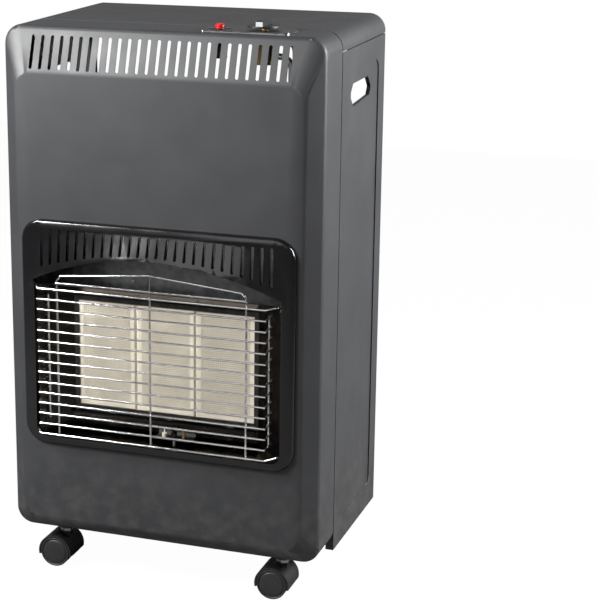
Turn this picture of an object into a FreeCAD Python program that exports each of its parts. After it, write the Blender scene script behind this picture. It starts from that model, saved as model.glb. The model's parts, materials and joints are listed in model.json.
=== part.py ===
import FreeCAD, Part
import math
import os
import re
import Sketcher

# A folding cabinet heater for bottled gas, in millimetres.
# X runs to the right of a person facing the burner, -Y is the front, Z is up and the floor is z = 0.
# Inside this file y = 0 is the seam between the pressed front shell and the folding rear panels.
# Every sub-part's Placement then moves it by FRAME_SHIFT, so the origin lies under the middle of the
# heater's box, on the floor.

Vector = FreeCAD.Vector
doc = FreeCAD.newDocument("GasCabinetHeater")
sheet = doc.addObject("Spreadsheet::Sheet", "Sizes")

SIZES = (
    # cabinet
    ("cabinet_width", 420), ("cabinet_top", 727), ("shell_bottom", 62), ("corner_round", 22),
    ("gauge", 1.2), ("seam_half", 1.2), ("side_depth", 66), ("slope_depth", 20),
    ("slope_side", 23), ("slope_top", 58), ("slope_bottom", 23), ("edge_bend", 8), ("face_round", 14),
    ("shell_flange", 10), ("vent_count", 27), ("vent_pitch", 12.88), ("vent_width", 4.4),
    ("vent_low", 675), ("vent_high", 716),
    # bezel round the burner
    ("bezel_width", 364), ("bezel_low", 188), ("bezel_high", 487), ("bezel_round", 28),
    ("bezel_rise", 6.6), ("bezel_wall", 1.5), ("bezel_bevel", 3.5), ("hood_reach", 12.4),
    ("hood_start", 480),
    ("mouth_width", 330), ("mouth_low", 199), ("mouth_round", 12), ("arch_top", 447),
    ("arch_radius", 380), ("hood_blend", 6), ("hood_quarter", 0.76), ("hood_end", 0.04),
    ("lip_depth", 9), ("louvre_count", 26), ("louvre_pitch", 12.2),
    ("louvre_width", 4), ("louvre_high", 475), ("louvre_low", 451), ("louvre_arch", 480),
    # guard
    ("wire", 2.5), ("bar_count", 15), ("bar_pitch", 13.78), ("bar_low", 209.2), ("guard_reach", 18.15),
    ("bar_straight", 151), ("upright_span", 126), ("upright_high", 431),
    ("outer_high", 420), ("hoop_shoulder", 6), ("top_bar", 411), ("bar_return", 26),
    # burner
    ("plaque_width", 80.4), ("plaque_gap", 0.4), ("plaque_low", 234), ("plaque_high", 378),
    ("plaque_thick", 8), ("plaque_bevel", 1.5), ("plaque_setback", 31), ("frame_overlap", 1.5),
    ("box_depth", 24),
    ("box_margin", 5), ("box_taper", 14), ("box_ledge", 7), ("frame_fold", 4),
    ("reflector_drop", 20), ("reflector_gauge", 0.8), ("piece_gap", 0.4),
    ("venturi_radius", 9), ("venturi_length", 42), ("manifold_radius", 7), ("manifold_length", 216),
    ("gas_line_y", 33), ("shield_half", 180), ("shield_low", 178), ("shield_high", 500),
    ("shield_setback", 3), ("supply_inset", 24), ("bracket_high", 40), ("jet_radius", 3), ("jet_height", 9),
    ("manifold_drop", 38), ("flame_bar_drop", 5), ("flame_bar_size", 6), ("flame_bar_inset", 3),
    ("pilot_x", 19), ("pilot_width", 50), ("pilot_drop", 8), ("pilot_shelf", 20), ("pilot_stand", 7),
    ("pilot_radius", 4), ("pilot_tip", 2.4), ("probe_radius", 2), ("probe_spacing", 13),
    ("insulator_radius", 3.2), ("insulator_height", 5.6), ("electrode_radius", 0.8),
    # controls
    ("plate_left", 45), ("plate_right", 158), ("plate_depth", 46), ("plate_middle_y", 32),
    ("plate_thick", 2), ("plate_round", 6), ("knob_x", 120), ("knob_radius", 20), ("knob_travel", 3),
    ("knob_height", 9.6), ("knob_skirt", 2.4), ("knob_clear", 0.3),
    ("spindle_foot", 12), ("spindle_seat", 6), ("collar_drop", 1.2), ("neck_wall", 2),
    ("grip_width", 9), ("grip_length", 36), ("grip_bevel", 1.8), ("spindle_radius", 3),
    ("collar_radius", 6), ("collar_thick", 4), ("running_gap", 0.06), ("tap_size", 24),
    ("tap_height", 38), ("outlet_drop", 28), ("tube_radius", 4), ("tube_bend", 14),
    ("pilot_tube_radius", 2), ("pilot_tube_bend", 8), ("pilot_tube_drop", 24),
    ("pilot_outlet_drop", 9), ("pilot_tube_y", 56),
    ("tail_radius", 4.5), ("tail_length", 22), ("tail_hex", 6), ("button_x", 64), ("button_radius", 5.65),
    ("button_rise", 5.5), ("button_travel", 4.5), ("igniter_radius", 9), ("igniter_length", 34),
    ("button_stem", 14), ("button_bevel", 1.2), ("nut_thick", 3),
    ("dish_radius", 14),
    # folding rear: lid, side panels and base tray
    ("rear_depth", 201), ("skirt", 24.4), ("panel_low", 55), ("panel_flange", 10.5),
    ("panel_top_gap", 1.2), ("pivot_inset", 6.5), ("pivot_back", 5.5), ("pivot_radius", 2),
    ("tab_radius", 4), ("tab_thick", 2), ("hinge_count", 3), ("hinge_first", 134),
    ("hinge_pitch", 262), ("hinge_keep", 3.4), ("notch_high", 12),
    ("hinge_reach", 16), ("hinge_foot", 12), ("hand_front", 46), ("hand_rear", 139), ("hand_low", 627),
    ("hand_high", 656), ("hand_lip", 2.4), ("hand_depth", 5),
    ("hand_front_cut", 12), ("hand_rear_cut", 14), ("hand_top_cut", 10), ("hand_slope", 4),
    ("top_flange_start", 34), ("emboss_front", 32), ("emboss_rear", 173.5),
    ("emboss_low", 85), ("emboss_high", 674), ("emboss_round", 16), ("emboss_depth", 1.6),
    ("lid_hinge_drop", 35), ("lid_hinge_y", 2.9), ("lid_lug_inset", 24), ("lid_lug_radius", 5),
    ("lid_pin_radius", 2), ("lug_width", 14), ("lid_bracket_reach", 14),
    ("tray_width", 376), ("tray_rear", 262), ("tray_pivot_y", 16),
    ("tray_pivot_z", 52), ("tray_skin_top", 54.2), ("tray_rim", 13), ("tray_round", 30),
    ("tray_front", 21), ("tray_knuckle", 2.2), ("tray_pin_radius", 1.2), ("tray_taper", 80),
    ("tray_hinge_x", 90), ("tray_leaf", 18), ("leaf_setback", 4), ("leaf_foot", 14), ("tray_edge", 1.8),
    ("hook_first", 72), ("hook_second", 147),
    ("hook_length", 17), ("hook_drop", 11), ("hook_thick", 2),
    ("hook_lip", 5), ("hook_inset", 0.5),
    # castors
    ("wheel_radius", 20), ("wheel_thick", 17), ("castor_width", 46), ("castor_trail", 8.5),
    ("castor_wall", 2.4), ("wheel_clear", 0.8), ("wheel_rim", 3.5), ("wheel_dish", 1.2),
    ("hood_drop", 5), ("stem_depth", 10), ("axle_half", 20), ("axle_radius", 2.5), ("stem_radius", 4),
    ("stem_foot", 45), ("stem_length", 31), ("boss_radius", 7), ("front_castor_x", 153),
    ("front_castor_y", 33), ("rear_castor_x", 150), ("rear_castor_y", 215), ("socket_radius", 7),
    ("socket_flange", 15), ("socket_length", 23),
)

for row, (alias, value) in enumerate(SIZES, start=1):
    sheet.set("A%d" % row, alias)
    sheet.set("B%d" % row, str(value))
    sheet.setAlias("B%d" % row, alias)
doc.recompute()

ALIASES = re.compile(r"\b(%s)\b" % "|".join(alias for alias, _ in SIZES))


def bound(text):
    """The expression with each size named through the sheet."""
    return ALIASES.sub(r"Sizes.\1", text)


def value(text):
    """The present value of an expression of sizes."""
    return float(sheet.evalExpression(bound(text)))


# Places that several pieces share, as expressions of the sizes
HALF = "(cabinet_width / 2)"
FACE_Y = "(-side_depth - slope_depth)"
FACE_HALF = "(cabinet_width / 2 - slope_side)"
FACE_LOW = "(shell_bottom + slope_bottom)"
FACE_HIGH = "(cabinet_top - slope_top)"
BEZEL_Y = "(%s - bezel_rise)" % FACE_Y
HOOD_Y = "(%s - hood_reach)" % BEZEL_Y
MOUTH_BACK_Y = "(%s + lip_depth)" % BEZEL_Y
GUARD_Y = "(%s - guard_reach)" % BEZEL_Y
PLAQUE_Y = "(%s + plaque_setback)" % FACE_Y
PLAQUE_BACK = "(%s + plaque_thick)" % PLAQUE_Y
BURNER_HALF = "(plaque_width * 1.5 + plaque_gap + box_margin)"
BOX_LOW = "(plaque_low - box_margin)"
BOX_HIGH = "(plaque_high + box_margin)"
BOX_BACK = "(%s + box_depth)" % PLAQUE_BACK
SHELL_INNER_Y = "(%s + gauge)" % FACE_Y
TOP_INNER = "(cabinet_top - gauge)"
PLATE_TOP = "(cabinet_top + plate_thick)"
PANEL_HIGH = "(cabinet_top - skirt - panel_top_gap)"
PIVOT_X = "(cabinet_width / 2 - pivot_inset)"
PIVOT_Y = "(seam_half + pivot_back)"
LID_PIVOT_Z = "(cabinet_top - lid_hinge_drop)"
LID_LUG_X = "(cabinet_width / 2 - lid_lug_inset)"
TRAY_SKIN_LOW = "(tray_skin_top - gauge)"
TAP_NECK = "(collar_radius + running_gap + neck_wall)"
TAP_HOLE = "(%s + piece_gap)" % TAP_NECK
COLLAR_WELL = "(collar_drop + collar_thick + knob_travel + piece_gap)"
KNOB_LOW = "(%s + knob_travel + knob_clear)" % PLATE_TOP
MANIFOLD_Z = "(%s - manifold_drop)" % BOX_LOW
FRAME_SHIFT = "((-(%s) + wire / 2 - tray_rear) / 2)" % GUARD_Y

AXES = {"XY": "XY_Plane", "XZ": "XZ_Plane", "YZ": "YZ_Plane"}
# how far along its own normal a sketch plane lies, from the coordinate it is placed at
NORMAL_SIGN = {"XY": "", "XZ": "-", "YZ": ""}


NODES = []

# cut across the end of a slot that leaves half an octagon, as a share of its width
OCTAGON_CUT = "(1 - sqrt(0.5))"


def body(label):
    """An empty sub-part that carries its own Placement."""
    piece = doc.addObject("PartDesign::Body", label)
    piece.Label = label
    piece.AllowCompound = True
    piece.setExpression(".Placement.Base.y", bound(FRAME_SHIFT))
    NODES.append(piece)
    return piece


def formed(label, shapes):
    """A sub-part from shapes made directly, such as bent wire and tube."""
    piece = doc.addObject("Part::Feature", label)
    piece.Label = label
    piece.Shape = shapes[0] if len(shapes) == 1 else Part.makeCompound(shapes)
    piece.setExpression(".Placement.Base.y", bound(FRAME_SHIFT))
    NODES.append(piece)
    return piece


def sketch(piece, plane, at="0"):
    """A sketch on one of the body's origin planes, moved along the normal to a coordinate."""
    flat = piece.newObject("Sketcher::SketchObject", piece.Name + "_sketch")
    role = AXES[plane]
    support = [f for f in piece.Origin.OriginFeatures if f.Role == role][0]
    flat.AttachmentSupport = (support, [""])
    flat.MapMode = "FlatFace"
    flat.setExpression(".AttachmentOffset.Base.z", bound("%s(%s)" % (NORMAL_SIGN[plane], at)))
    return flat


def fix_point(flat, geometry, vertex, u, v):
    """Hold a vertex at two coordinates given as expressions."""
    for kind, text in (("DistanceX", u), ("DistanceY", v)):
        index = flat.addConstraint(Sketcher.Constraint(kind, -1, 1, geometry, vertex, value(text)))
        flat.setExpression("Constraints[%d]" % index, bound(text))


def arc_between(start, end, radius, turn):
    """The short arc from start to end; turn is +1 where it runs anticlockwise."""
    chord = end - start
    half = chord.Length / 2
    rise = math.sqrt(max(radius * radius - half * half, 0))
    side = Vector(-chord.y, chord.x, 0).normalize() * turn
    centre = start + chord * 0.5 + side * rise
    first, last = (start, end) if turn > 0 else (end, start)
    a0 = math.atan2(first.y - centre.y, first.x - centre.x)
    a1 = math.atan2(last.y - centre.y, last.x - centre.x)
    if a1 <= a0:
        a1 += 2 * math.pi
    circle = Part.Circle(centre, Vector(0, 0, 1), radius)
    return Part.ArcOfCircle(circle, a0, a1)


def outline(flat, points, closed=True):
    """Lines and arcs through points (u, v) or (u, v, radius, turn), the last two for an arc onward."""
    places = [Vector(value(p[0]), value(p[1]), 0) for p in points]
    count = len(points) if closed else len(points) - 1
    ends = []
    for i in range(count):
        start, end = places[i], places[(i + 1) % len(points)]
        if len(points[i]) == 2:
            index = flat.addGeometry(Part.LineSegment(start, end), False)
            ends.append((index, 1, 2))
        else:
            radius, turn = points[i][2], points[i][3]
            arc = arc_between(start, end, value(radius), turn)
            index = flat.addGeometry(arc, False)
            limit = flat.addConstraint(Sketcher.Constraint("Radius", index, value(radius)))
            flat.setExpression("Constraints[%d]" % limit, bound(radius))
            ends.append((index, 1, 2) if turn > 0 else (index, 2, 1))
    for i in range(count):
        fix_point(flat, ends[i][0], ends[i][1], points[i][0], points[i][1])
        if closed or i + 1 < count:
            follow = ends[(i + 1) % count]
            flat.addConstraint(Sketcher.Constraint("Coincident", ends[i][0], ends[i][2],
                                                   follow[0], follow[1]))
    if not closed:
        fix_point(flat, ends[-1][0], ends[-1][2], points[-1][0], points[-1][1])
    return flat


def circle(flat, u, v, radius):
    """A circle at a place given as expressions."""
    spot = Vector(value(u), value(v), 0)
    index = flat.addGeometry(Part.Circle(spot, Vector(0, 0, 1), value(radius)), False)
    fix_point(flat, index, 3, u, v)
    limit = flat.addConstraint(Sketcher.Constraint("Radius", index, value(radius)))
    flat.setExpression("Constraints[%d]" % limit, bound(radius))
    return flat


def slot(flat, u, low, high, width):
    """An upright slot whose ends are cut to half an octagon."""
    half, cut = "(%s) / 2" % width, "(%s) * %s" % (width, OCTAGON_CUT)
    left, right = "(%s) - %s" % (u, half), "(%s) + %s" % (u, half)
    return outline(flat, [
        (left + " + " + cut, low), (right + " - " + cut, low), (right, "%s + %s" % (low, cut)),
        (right, "%s - %s" % (high, cut)), (right + " - " + cut, high), (left + " + " + cut, high),
        (left, "%s - %s" % (high, cut)), (left, "%s + %s" % (low, cut))])


def rectangle(left, right, low, high):
    """The corners of a rectangle, anticlockwise."""
    return [(left, low), (right, low), (right, high), (left, high)]


def rounded(left, right, low, high, radius):
    """A rectangle with round corners, anticlockwise."""
    l2, r2 = "%s + %s" % (left, radius), "%s - %s" % (right, radius)
    b2, t2 = "%s + %s" % (low, radius), "%s - %s" % (high, radius)
    return [(l2, low), (r2, low, radius, 1), (right, b2), (right, t2, radius, 1),
            (r2, high), (l2, high, radius, 1), (left, t2), (left, b2, radius, 1)]


def feature(piece, kind, profile=None):
    """A new solid feature of the body."""
    made = piece.newObject("PartDesign::" + kind, piece.Name + "_" + kind)
    if profile is not None:
        made.Profile = profile
        profile.Visibility = False
    return made


def pad(piece, profile, length, backwards=False):
    """Material from the sketch plane, along its normal or against it."""
    made = feature(piece, "Pad", profile)
    made.setExpression("Length", bound(length))
    made.Reversed = backwards
    return made


def pocket(piece, profile, length=None, backwards=False):
    """A cut from the sketch plane against its normal, or along it when backwards."""
    made = feature(piece, "Pocket", profile)
    if length is None:
        made.Type = "ThroughAll"
        made.Midplane = True
    else:
        made.setExpression("Length", bound(length))
        made.Reversed = backwards
    return made


def loft(piece, profiles, kind="AdditiveLoft", ruled=True):
    """A skin through several profiles."""
    made = feature(piece, kind, profiles[0])
    made.Sections = profiles[1:]
    made.Ruled = ruled
    return made


def pattern(piece, base, direction, count, pitch):
    """Copies of features in a row."""
    made = piece.newObject("PartDesign::LinearPattern", piece.Name + "_pattern")
    made.Originals = base
    role = {"X": "X_Axis", "Y": "Y_Axis", "Z": "Z_Axis"}[direction]
    made.Direction = ([f for f in piece.Origin.OriginFeatures if f.Role == role][0], [""])
    made.setExpression("Occurrences", bound(count))
    made.setExpression("Length", bound("(%s - 1) * %s" % (count, pitch)))
    piece.Tip = made
    return made


def edges_where(shape, test):
    """Names of the edges whose middle passes the test."""
    names = []
    for index, edge in enumerate(shape.Edges, start=1):
        middle = edge.valueAt((edge.FirstParameter + edge.LastParameter) / 2)
        if test(edge, middle):
            names.append("Edge%d" % index)
    return names


def fillet(piece, base, names, radius):
    """Round the named edges of the last feature."""
    made = piece.newObject("PartDesign::Fillet", piece.Name + "_fillet")
    made.Base = (base, names)
    made.setExpression("Radius", bound(radius))
    return made


def bevel(piece, base, names, size):
    """Cut the named edges of the last feature off at an equal angle."""
    made = piece.newObject("PartDesign::Chamfer", piece.Name + "_bevel")
    made.Base = (base, names)
    made.setExpression("Size", bound(size))
    return made


def rod(piece, plane, at, u, v, radius, length, backwards=False):
    """A round bar standing on a plane."""
    return pad(piece, circle(sketch(piece, plane, at), u, v, radius), length, backwards)


def slab(piece, plane, at, points, length, backwards=False):
    """A flat outline given thickness."""
    return pad(piece, outline(sketch(piece, plane, at), points), length, backwards)


def bore(piece, plane, at, u, v, radius, length, backwards=False):
    """A round hole."""
    return pocket(piece, circle(sketch(piece, plane, at), u, v, radius), length, backwards)


def window(piece, plane, at, points, length, backwards=False):
    """A cut of any flat outline."""
    return pocket(piece, outline(sketch(piece, plane, at), points), length, backwards)


def run(start, end, radius):
    """A straight length of round wire or tube."""
    along = end - start
    return Part.makeCylinder(radius, along.Length, start, along)


def beyond(spot, normal, size):
    """A block that fills the space past a plane."""
    block = Part.makeBox(size, size, size, Vector(-size / 2, -size / 2, 0))
    block.Placement = FreeCAD.Placement(spot, FreeCAD.Rotation(Vector(0, 0, 1), normal))
    return block


def mitred(points, radius):
    """Round wire through sharp corners, each cut on the plane that halves it."""
    places = [Vector(*p) for p in points]
    ways = [(b - a).normalize() for a, b in zip(places, places[1:])]
    runs = []
    for number, way in enumerate(ways):
        start, end = places[number], places[number + 1]
        first, last = number == 0, number == len(ways) - 1
        length = run(start if first else start - way * radius * 3, end if last else end + way * radius * 3,
                     radius)
        if not first:
            length = length.cut(beyond(start, -(ways[number - 1] + way), radius * 12))
        if not last:
            length = length.cut(beyond(end, way + ways[number + 1], radius * 12))
        runs.append(length)
    return runs[0].multiFuse(runs[1:]) if len(runs) > 1 else runs[0]


def turned(points, corner, steps):
    """The route with each corner turned round an arc, in equal straight steps."""
    places = [Vector(*p) for p in points]
    route = [places[0]]
    for before, at, after in zip(places, places[1:], places[2:]):
        back, forth = (before - at).normalize(), (after - at).normalize()
        half = back.getAngle(forth) / 2
        centre = at + (back + forth).normalize() * (corner / math.sin(half))
        enter = at + back * (corner / math.tan(half)) - centre
        leave = at + forth * (corner / math.tan(half)) - centre
        whole = math.degrees(enter.getAngle(leave))
        for step in range(steps + 1):
            turn = FreeCAD.Rotation(enter.cross(leave), whole * step / steps)
            route.append(centre + turn.multVec(enter))
    route.append(places[-1])
    return route


# ---------------------------------------------------------------- front shell

def shell_outline(flat, inset):
    """The cabinet's outline, seen from the front, drawn in by an inset."""
    return outline(flat, rounded("-%s + %s" % (HALF, inset), "%s - %s" % (HALF, inset),
                                 "shell_bottom + %s" % inset, "cabinet_top - %s" % inset,
                                 "(corner_round - %s)" % inset))


def face_outline(flat, inset):
    """The flat front's outline, drawn in by an inset."""
    return outline(flat, rounded("-%s + %s" % (FACE_HALF, inset), "%s - %s" % (FACE_HALF, inset),
                                 "%s + %s" % (FACE_LOW, inset), "%s - %s" % (FACE_HIGH, inset),
                                 "(face_round - %s)" % inset))


def cavity_outline(half, low, high, radius):
    """The pan's hollow at one depth: one gauge inside its outline, corners cut across their arcs."""
    left, right = "(-%s + gauge)" % half, "(%s - gauge)" % half
    bottom, top, turn = "(%s + gauge)" % low, "(%s - gauge)" % high, "(2 * %s * %s)" % (radius, OCTAGON_CUT)
    return [(left + " + " + turn, bottom), (right + " - " + turn, bottom), (right, bottom + " + " + turn),
            (right, top + " - " + turn), (right + " - " + turn, top), (left + " + " + turn, top),
            (left, top + " - " + turn), (left, bottom + " + " + turn)]


def hinge_notch(side):
    """From the inner edge of a rear flange to where it clears the hinge ears."""
    return sorted_pair("%d * (%s - hinge_keep)" % (side, HALF),
                       "%d * (%s - panel_flange - gauge)" % (side, HALF),
                       side)


def hinge_height(number):
    """Middle of one of the hinges of a side panel."""
    return "(hinge_first + %d * hinge_pitch)" % number


def sorted_pair(far, near, side):
    """The two coordinates from left to right."""
    return (near, far) if side == 1 else (far, near)


def front_shell():
    """Deep pressed pan: flat face, slanted bands all round, vent slots in the upper band."""
    piece = body("front_shell")
    pad(piece, shell_outline(sketch(piece, "XZ", "-seam_half"), "0"), "side_depth - seam_half")
    front = loft(piece, [shell_outline(sketch(piece, "XZ", "-side_depth"), "0"),
                         face_outline(sketch(piece, "XZ", FACE_Y), "0")])
    doc.recompute()
    corner_y = value("-side_depth")
    bends = edges_where(front.Shape, lambda e, m: abs(m.y - corner_y) < 1e-3)
    fillet(piece, front, bends, "edge_bend")
    rear = cavity_outline(HALF, "shell_bottom", "cabinet_top", "corner_round")
    pocket(piece, outline(sketch(piece, "XZ", "-seam_half"), rear), "side_depth - seam_half", True)
    loft(piece, [outline(sketch(piece, "XZ", "-side_depth"), rear),
                 outline(sketch(piece, "XZ", SHELL_INNER_Y),
                         cavity_outline(FACE_HALF, FACE_LOW, FACE_HIGH, "face_round"))], "SubtractiveLoft")
    lip = shell_outline(sketch(piece, "XZ", "-seam_half"), "gauge / 2")
    shell_outline(lip, "(gauge / 2 + shell_flange)")
    pad(piece, lip, "gauge")
    for number in range(int(value("hinge_count"))):
        z = hinge_height(number)
        notches = sketch(piece, "XZ", "-seam_half + gauge")
        for side in (-1, 1):
            left, right = hinge_notch(side)
            outline(notches, rectangle(left, right, z + " - notch_high / 2", z + " + notch_high / 2"))
        pocket(piece, notches, "gauge * 3", True)
    window(piece, "XZ", FACE_Y, rectangle("-mouth_width / 2 - bezel_wall", "mouth_width / 2 + bezel_wall",
                                          "mouth_low - bezel_wall", "hood_start - bezel_wall"), "gauge * 4")
    slots = slot(sketch(piece, "XZ", "-side_depth + gauge"), "-(vent_count - 1) * vent_pitch / 2",
                 "vent_low", "vent_high", "vent_width")
    vents = pocket(piece, slots, "slope_depth + gauge * 2", True)
    pattern(piece, [vents], "X", "vent_count", "vent_pitch")
    controls = sketch(piece, "XY", "cabinet_top + gauge")
    circle(controls, "knob_x", "-plate_middle_y", TAP_HOLE)
    circle(controls, "button_x", "-plate_middle_y", "igniter_radius + piece_gap")
    pocket(piece, controls, "gauge * 3")
    stems = sketch(piece, "XY", "shell_bottom - gauge")
    for side in ("-", ""):
        circle(stems, side + "front_castor_x", "-front_castor_y", "socket_radius + piece_gap")
    pocket(piece, stems, "gauge * 3", True)


# ---------------------------------------------------------------- bezel and guard

def arch(x, top, radius):
    """Height of an arch at x, as an expression."""
    return "(%s - %s + sqrt(%s ^ 2 - (%s) ^ 2))" % (top, radius, radius, x)


def hood_section(piece, x, reach, inset):
    """A cut through the hood, across the sheet, at one x."""
    lip = arch(x, "arch_top", "arch_radius")
    root = "%s + gauge" % BEZEL_Y
    front = "%s - (%s) + %s" % (BEZEL_Y, reach, inset)
    return outline(sketch(piece, "YZ", x), [
        (root, "hood_start - 2 * (%s)" % inset), (root, "%s - lip_depth" % lip),
        (front, "%s - lip_depth" % lip), (front, lip)])


def hood_sections(piece, inset):
    """Five cuts: full reach in the middle, dying away towards both ends."""
    half = "(mouth_width / 2 + hood_blend - (%s))" % inset
    shares = (("-1", "hood_end"), ("-0.5", "hood_quarter"), ("0", "1"), ("0.5", "hood_quarter"),
              ("1", "hood_end"))
    return [hood_section(piece, "%s * %s" % (share, half), "hood_reach * %s" % reach, inset)
            for share, reach in shares]


def mouth(flat, grow="0"):
    """The burner opening: flat sill, round lower corners, upright sides and an arched head."""
    half = "(mouth_width / 2 + %s)" % grow
    low = "mouth_low - (%s)" % grow
    spring = "%s + (%s)" % (arch("mouth_width / 2", "arch_top", "arch_radius"), grow)
    return outline(flat, [
        ("-%s + mouth_round" % half, low), ("%s - mouth_round" % half, low, "mouth_round", 1),
        (half, "%s + mouth_round" % low), (half, spring, "arch_radius + (%s)" % grow, 1),
        ("-" + half, spring), ("-" + half, "%s + mouth_round" % low, "mouth_round", 1)])


def burner_bezel():
    """Glossy surround with an arched hood, a louvre of slots and a lip turned into the opening."""
    piece = body("burner_bezel")
    plate = slab(piece, "XZ", FACE_Y, rounded("-bezel_width / 2", "bezel_width / 2", "bezel_low",
                                              "bezel_high", "bezel_round"), "bezel_rise")
    doc.recompute()
    rim = edges_where(plate.Shape, lambda e, m: abs(m.y - value(BEZEL_Y)) < 1e-3)
    bevel(piece, plate, rim, "bezel_bevel")
    loft(piece, hood_sections(piece, "0"), ruled=False)
    wall = "bezel_wall * 2"
    window(piece, "XZ", FACE_Y, rounded("-bezel_width / 2 + " + wall, "bezel_width / 2 - " + wall,
                                        "bezel_low + " + wall, "bezel_high - " + wall,
                                        "(bezel_round - %s)" % wall), "bezel_rise - bezel_wall", True)
    loft(piece, hood_sections(piece, "bezel_wall"), "SubtractiveLoft", ruled=False)
    lip = mouth(sketch(piece, "XZ", BEZEL_Y + " + bezel_wall / 2"), "bezel_wall")
    pad(piece, lip, "lip_depth - bezel_wall / 2", True)
    pocket(piece, mouth(sketch(piece, "XZ", HOOD_Y + " - gauge")), "hood_reach + lip_depth + gauge * 3")
    for number in range(int(value("louvre_count / 2"))):
        flat = sketch(piece, "XZ", HOOD_Y + " - gauge")
        for side in (-1, 1):
            x = "(%d * (%d + 0.5) * louvre_pitch)" % (side, number)
            slot(flat, x, arch(x, "louvre_low", "louvre_arch"), "louvre_high", "louvre_width")
        pocket(piece, flat, "hood_reach + bezel_rise + gauge * 3")


def wire_guard():
    """Chromed guard: bars with their ends turned back, the first and last hooked into the bezel's mouth,
    a bent hoop and uprights."""
    front, thick = value(GUARD_Y), value("wire")
    radius = thick / 2
    straight, pitch, low = value("bar_straight"), value("bar_pitch"), value("bar_low")
    hook_x = value("mouth_width / 2 - wire / 2 - running_gap")
    hook_y = front + value("guard_reach + bezel_wall")
    back = front + value("bar_return")
    hooked = mitred([(-hook_x, hook_y, low), (-straight, front, low), (straight, front, low),
                     (hook_x, hook_y, low)], radius)
    bent = mitred([(-straight, back, low), (-straight, front, low), (straight, front, low),
                   (straight, back, low)], radius)
    last = int(value("bar_count")) - 1
    wires = []
    for number in range(last + 1):
        copy = (hooked if number in (0, last) else bent).copy()
        copy.translate(Vector(0, 0, number * pitch))
        wires.append(copy)
    behind = front + thick
    span, shoulder = value("upright_span"), value("hoop_shoulder")
    outer, crown = value("outer_high"), value("upright_high")
    side = [(span, behind, low - thick), (span, behind, outer - shoulder), (span - shoulder, behind, outer)]
    hoop = side + [(0, behind, crown)] + [(-x, y, z) for x, y, z in reversed(side)]
    wires.append(mitred(hoop, radius))
    wires.append(mitred([(0, behind, low - thick), (0, behind, crown - thick)], radius))
    cross = value("top_bar")
    wires.append(mitred([(-span, front, cross), (span, front, cross)], radius))
    for x in (thick - straight, straight - thick):
        wires.append(mitred([(x, back - radius, low + pitch), (x, back - radius, low + (last - 1) * pitch)],
                            radius))
    formed("wire_guard", wires)


# ---------------------------------------------------------------- burner

def ceramic_plaque(label, place):
    """One perforated ceramic plaque with a bevelled rim."""
    piece = body(label)
    middle = "(%d * (plaque_width + plaque_gap))" % place
    left, right = "%s - plaque_width / 2" % middle, "%s + plaque_width / 2" % middle
    slab(piece, "XZ", PLAQUE_Y + " + plaque_bevel", rectangle(left, right, "plaque_low", "plaque_high"),
         "plaque_thick - plaque_bevel", True)
    loft(piece, [
        outline(sketch(piece, "XZ", PLAQUE_Y + " + plaque_bevel"),
                rectangle(left, right, "plaque_low", "plaque_high")),
        outline(sketch(piece, "XZ", PLAQUE_Y),
                rectangle(left + " + plaque_bevel", right + " - plaque_bevel",
                          "plaque_low + plaque_bevel", "plaque_high - plaque_bevel"))])


def plaques():
    """Three plaques side by side."""
    for place, name in ((-1, "left"), (0, "centre"), (1, "right")):
        ceramic_plaque("plaque_" + name, place)


def burner_box():
    """Sheet-steel mixing chamber behind the plaques, drawn in towards the back, with a ledge in front."""
    piece = body("burner_box")

    def section(inset, taper="0"):
        half = "(%s - gauge - %s - %s)" % (BURNER_HALF, inset, taper)
        return rectangle("-" + half, half, "%s + gauge + %s" % (BOX_LOW, inset),
                         "%s - gauge - %s - %s" % (BOX_HIGH, inset, taper))

    straight = "box_depth / 3"
    middle = "%s + %s" % (PLAQUE_BACK, straight)
    slab(piece, "XZ", PLAQUE_BACK, section("0"), straight, True)
    loft(piece, [outline(sketch(piece, "XZ", middle), section("0")),
                 outline(sketch(piece, "XZ", BOX_BACK), section("0", "box_taper"))])
    window(piece, "XZ", PLAQUE_BACK, section("box_ledge"), straight)
    window(piece, "XZ", PLAQUE_BACK + " + gauge", section("gauge"), straight + " - gauge")
    loft(piece, [outline(sketch(piece, "XZ", middle), section("gauge")),
                 outline(sketch(piece, "XZ", BOX_BACK + " - gauge"), section("gauge", "box_taper"))],
         "SubtractiveLoft")


def plaque_frame():
    """Steel clamp round all the plaques, its wall folded back round the chamber."""
    piece = body("plaque_frame")
    outer = rectangle("-" + BURNER_HALF, BURNER_HALF, BOX_LOW, BOX_HIGH)
    front = "%s - gauge - piece_gap" % PLAQUE_Y
    slab(piece, "XZ", front, outer, "gauge + piece_gap + plaque_thick + frame_fold", True)
    window(piece, "XZ", "%s - piece_gap" % PLAQUE_Y, rectangle(
        "-%s + gauge" % BURNER_HALF, "%s - gauge" % BURNER_HALF, BOX_LOW + " + gauge",
        BOX_HIGH + " - gauge"), "plaque_thick + box_depth")
    rim = "(plaque_width * 1.5 + plaque_gap - frame_overlap)"
    window(piece, "XZ", front + " - gauge", rectangle("-" + rim, rim, "plaque_low + frame_overlap",
                                                      "plaque_high - frame_overlap"), "gauge * 3")


REFLECTOR_REAR = "(%s - gauge - piece_gap)" % PLAQUE_Y
REFLECTOR_FRONT = MOUTH_BACK_Y
PILOT_Y = "(%s - 2 * flame_bar_size - pilot_stand)" % REFLECTOR_REAR


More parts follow.
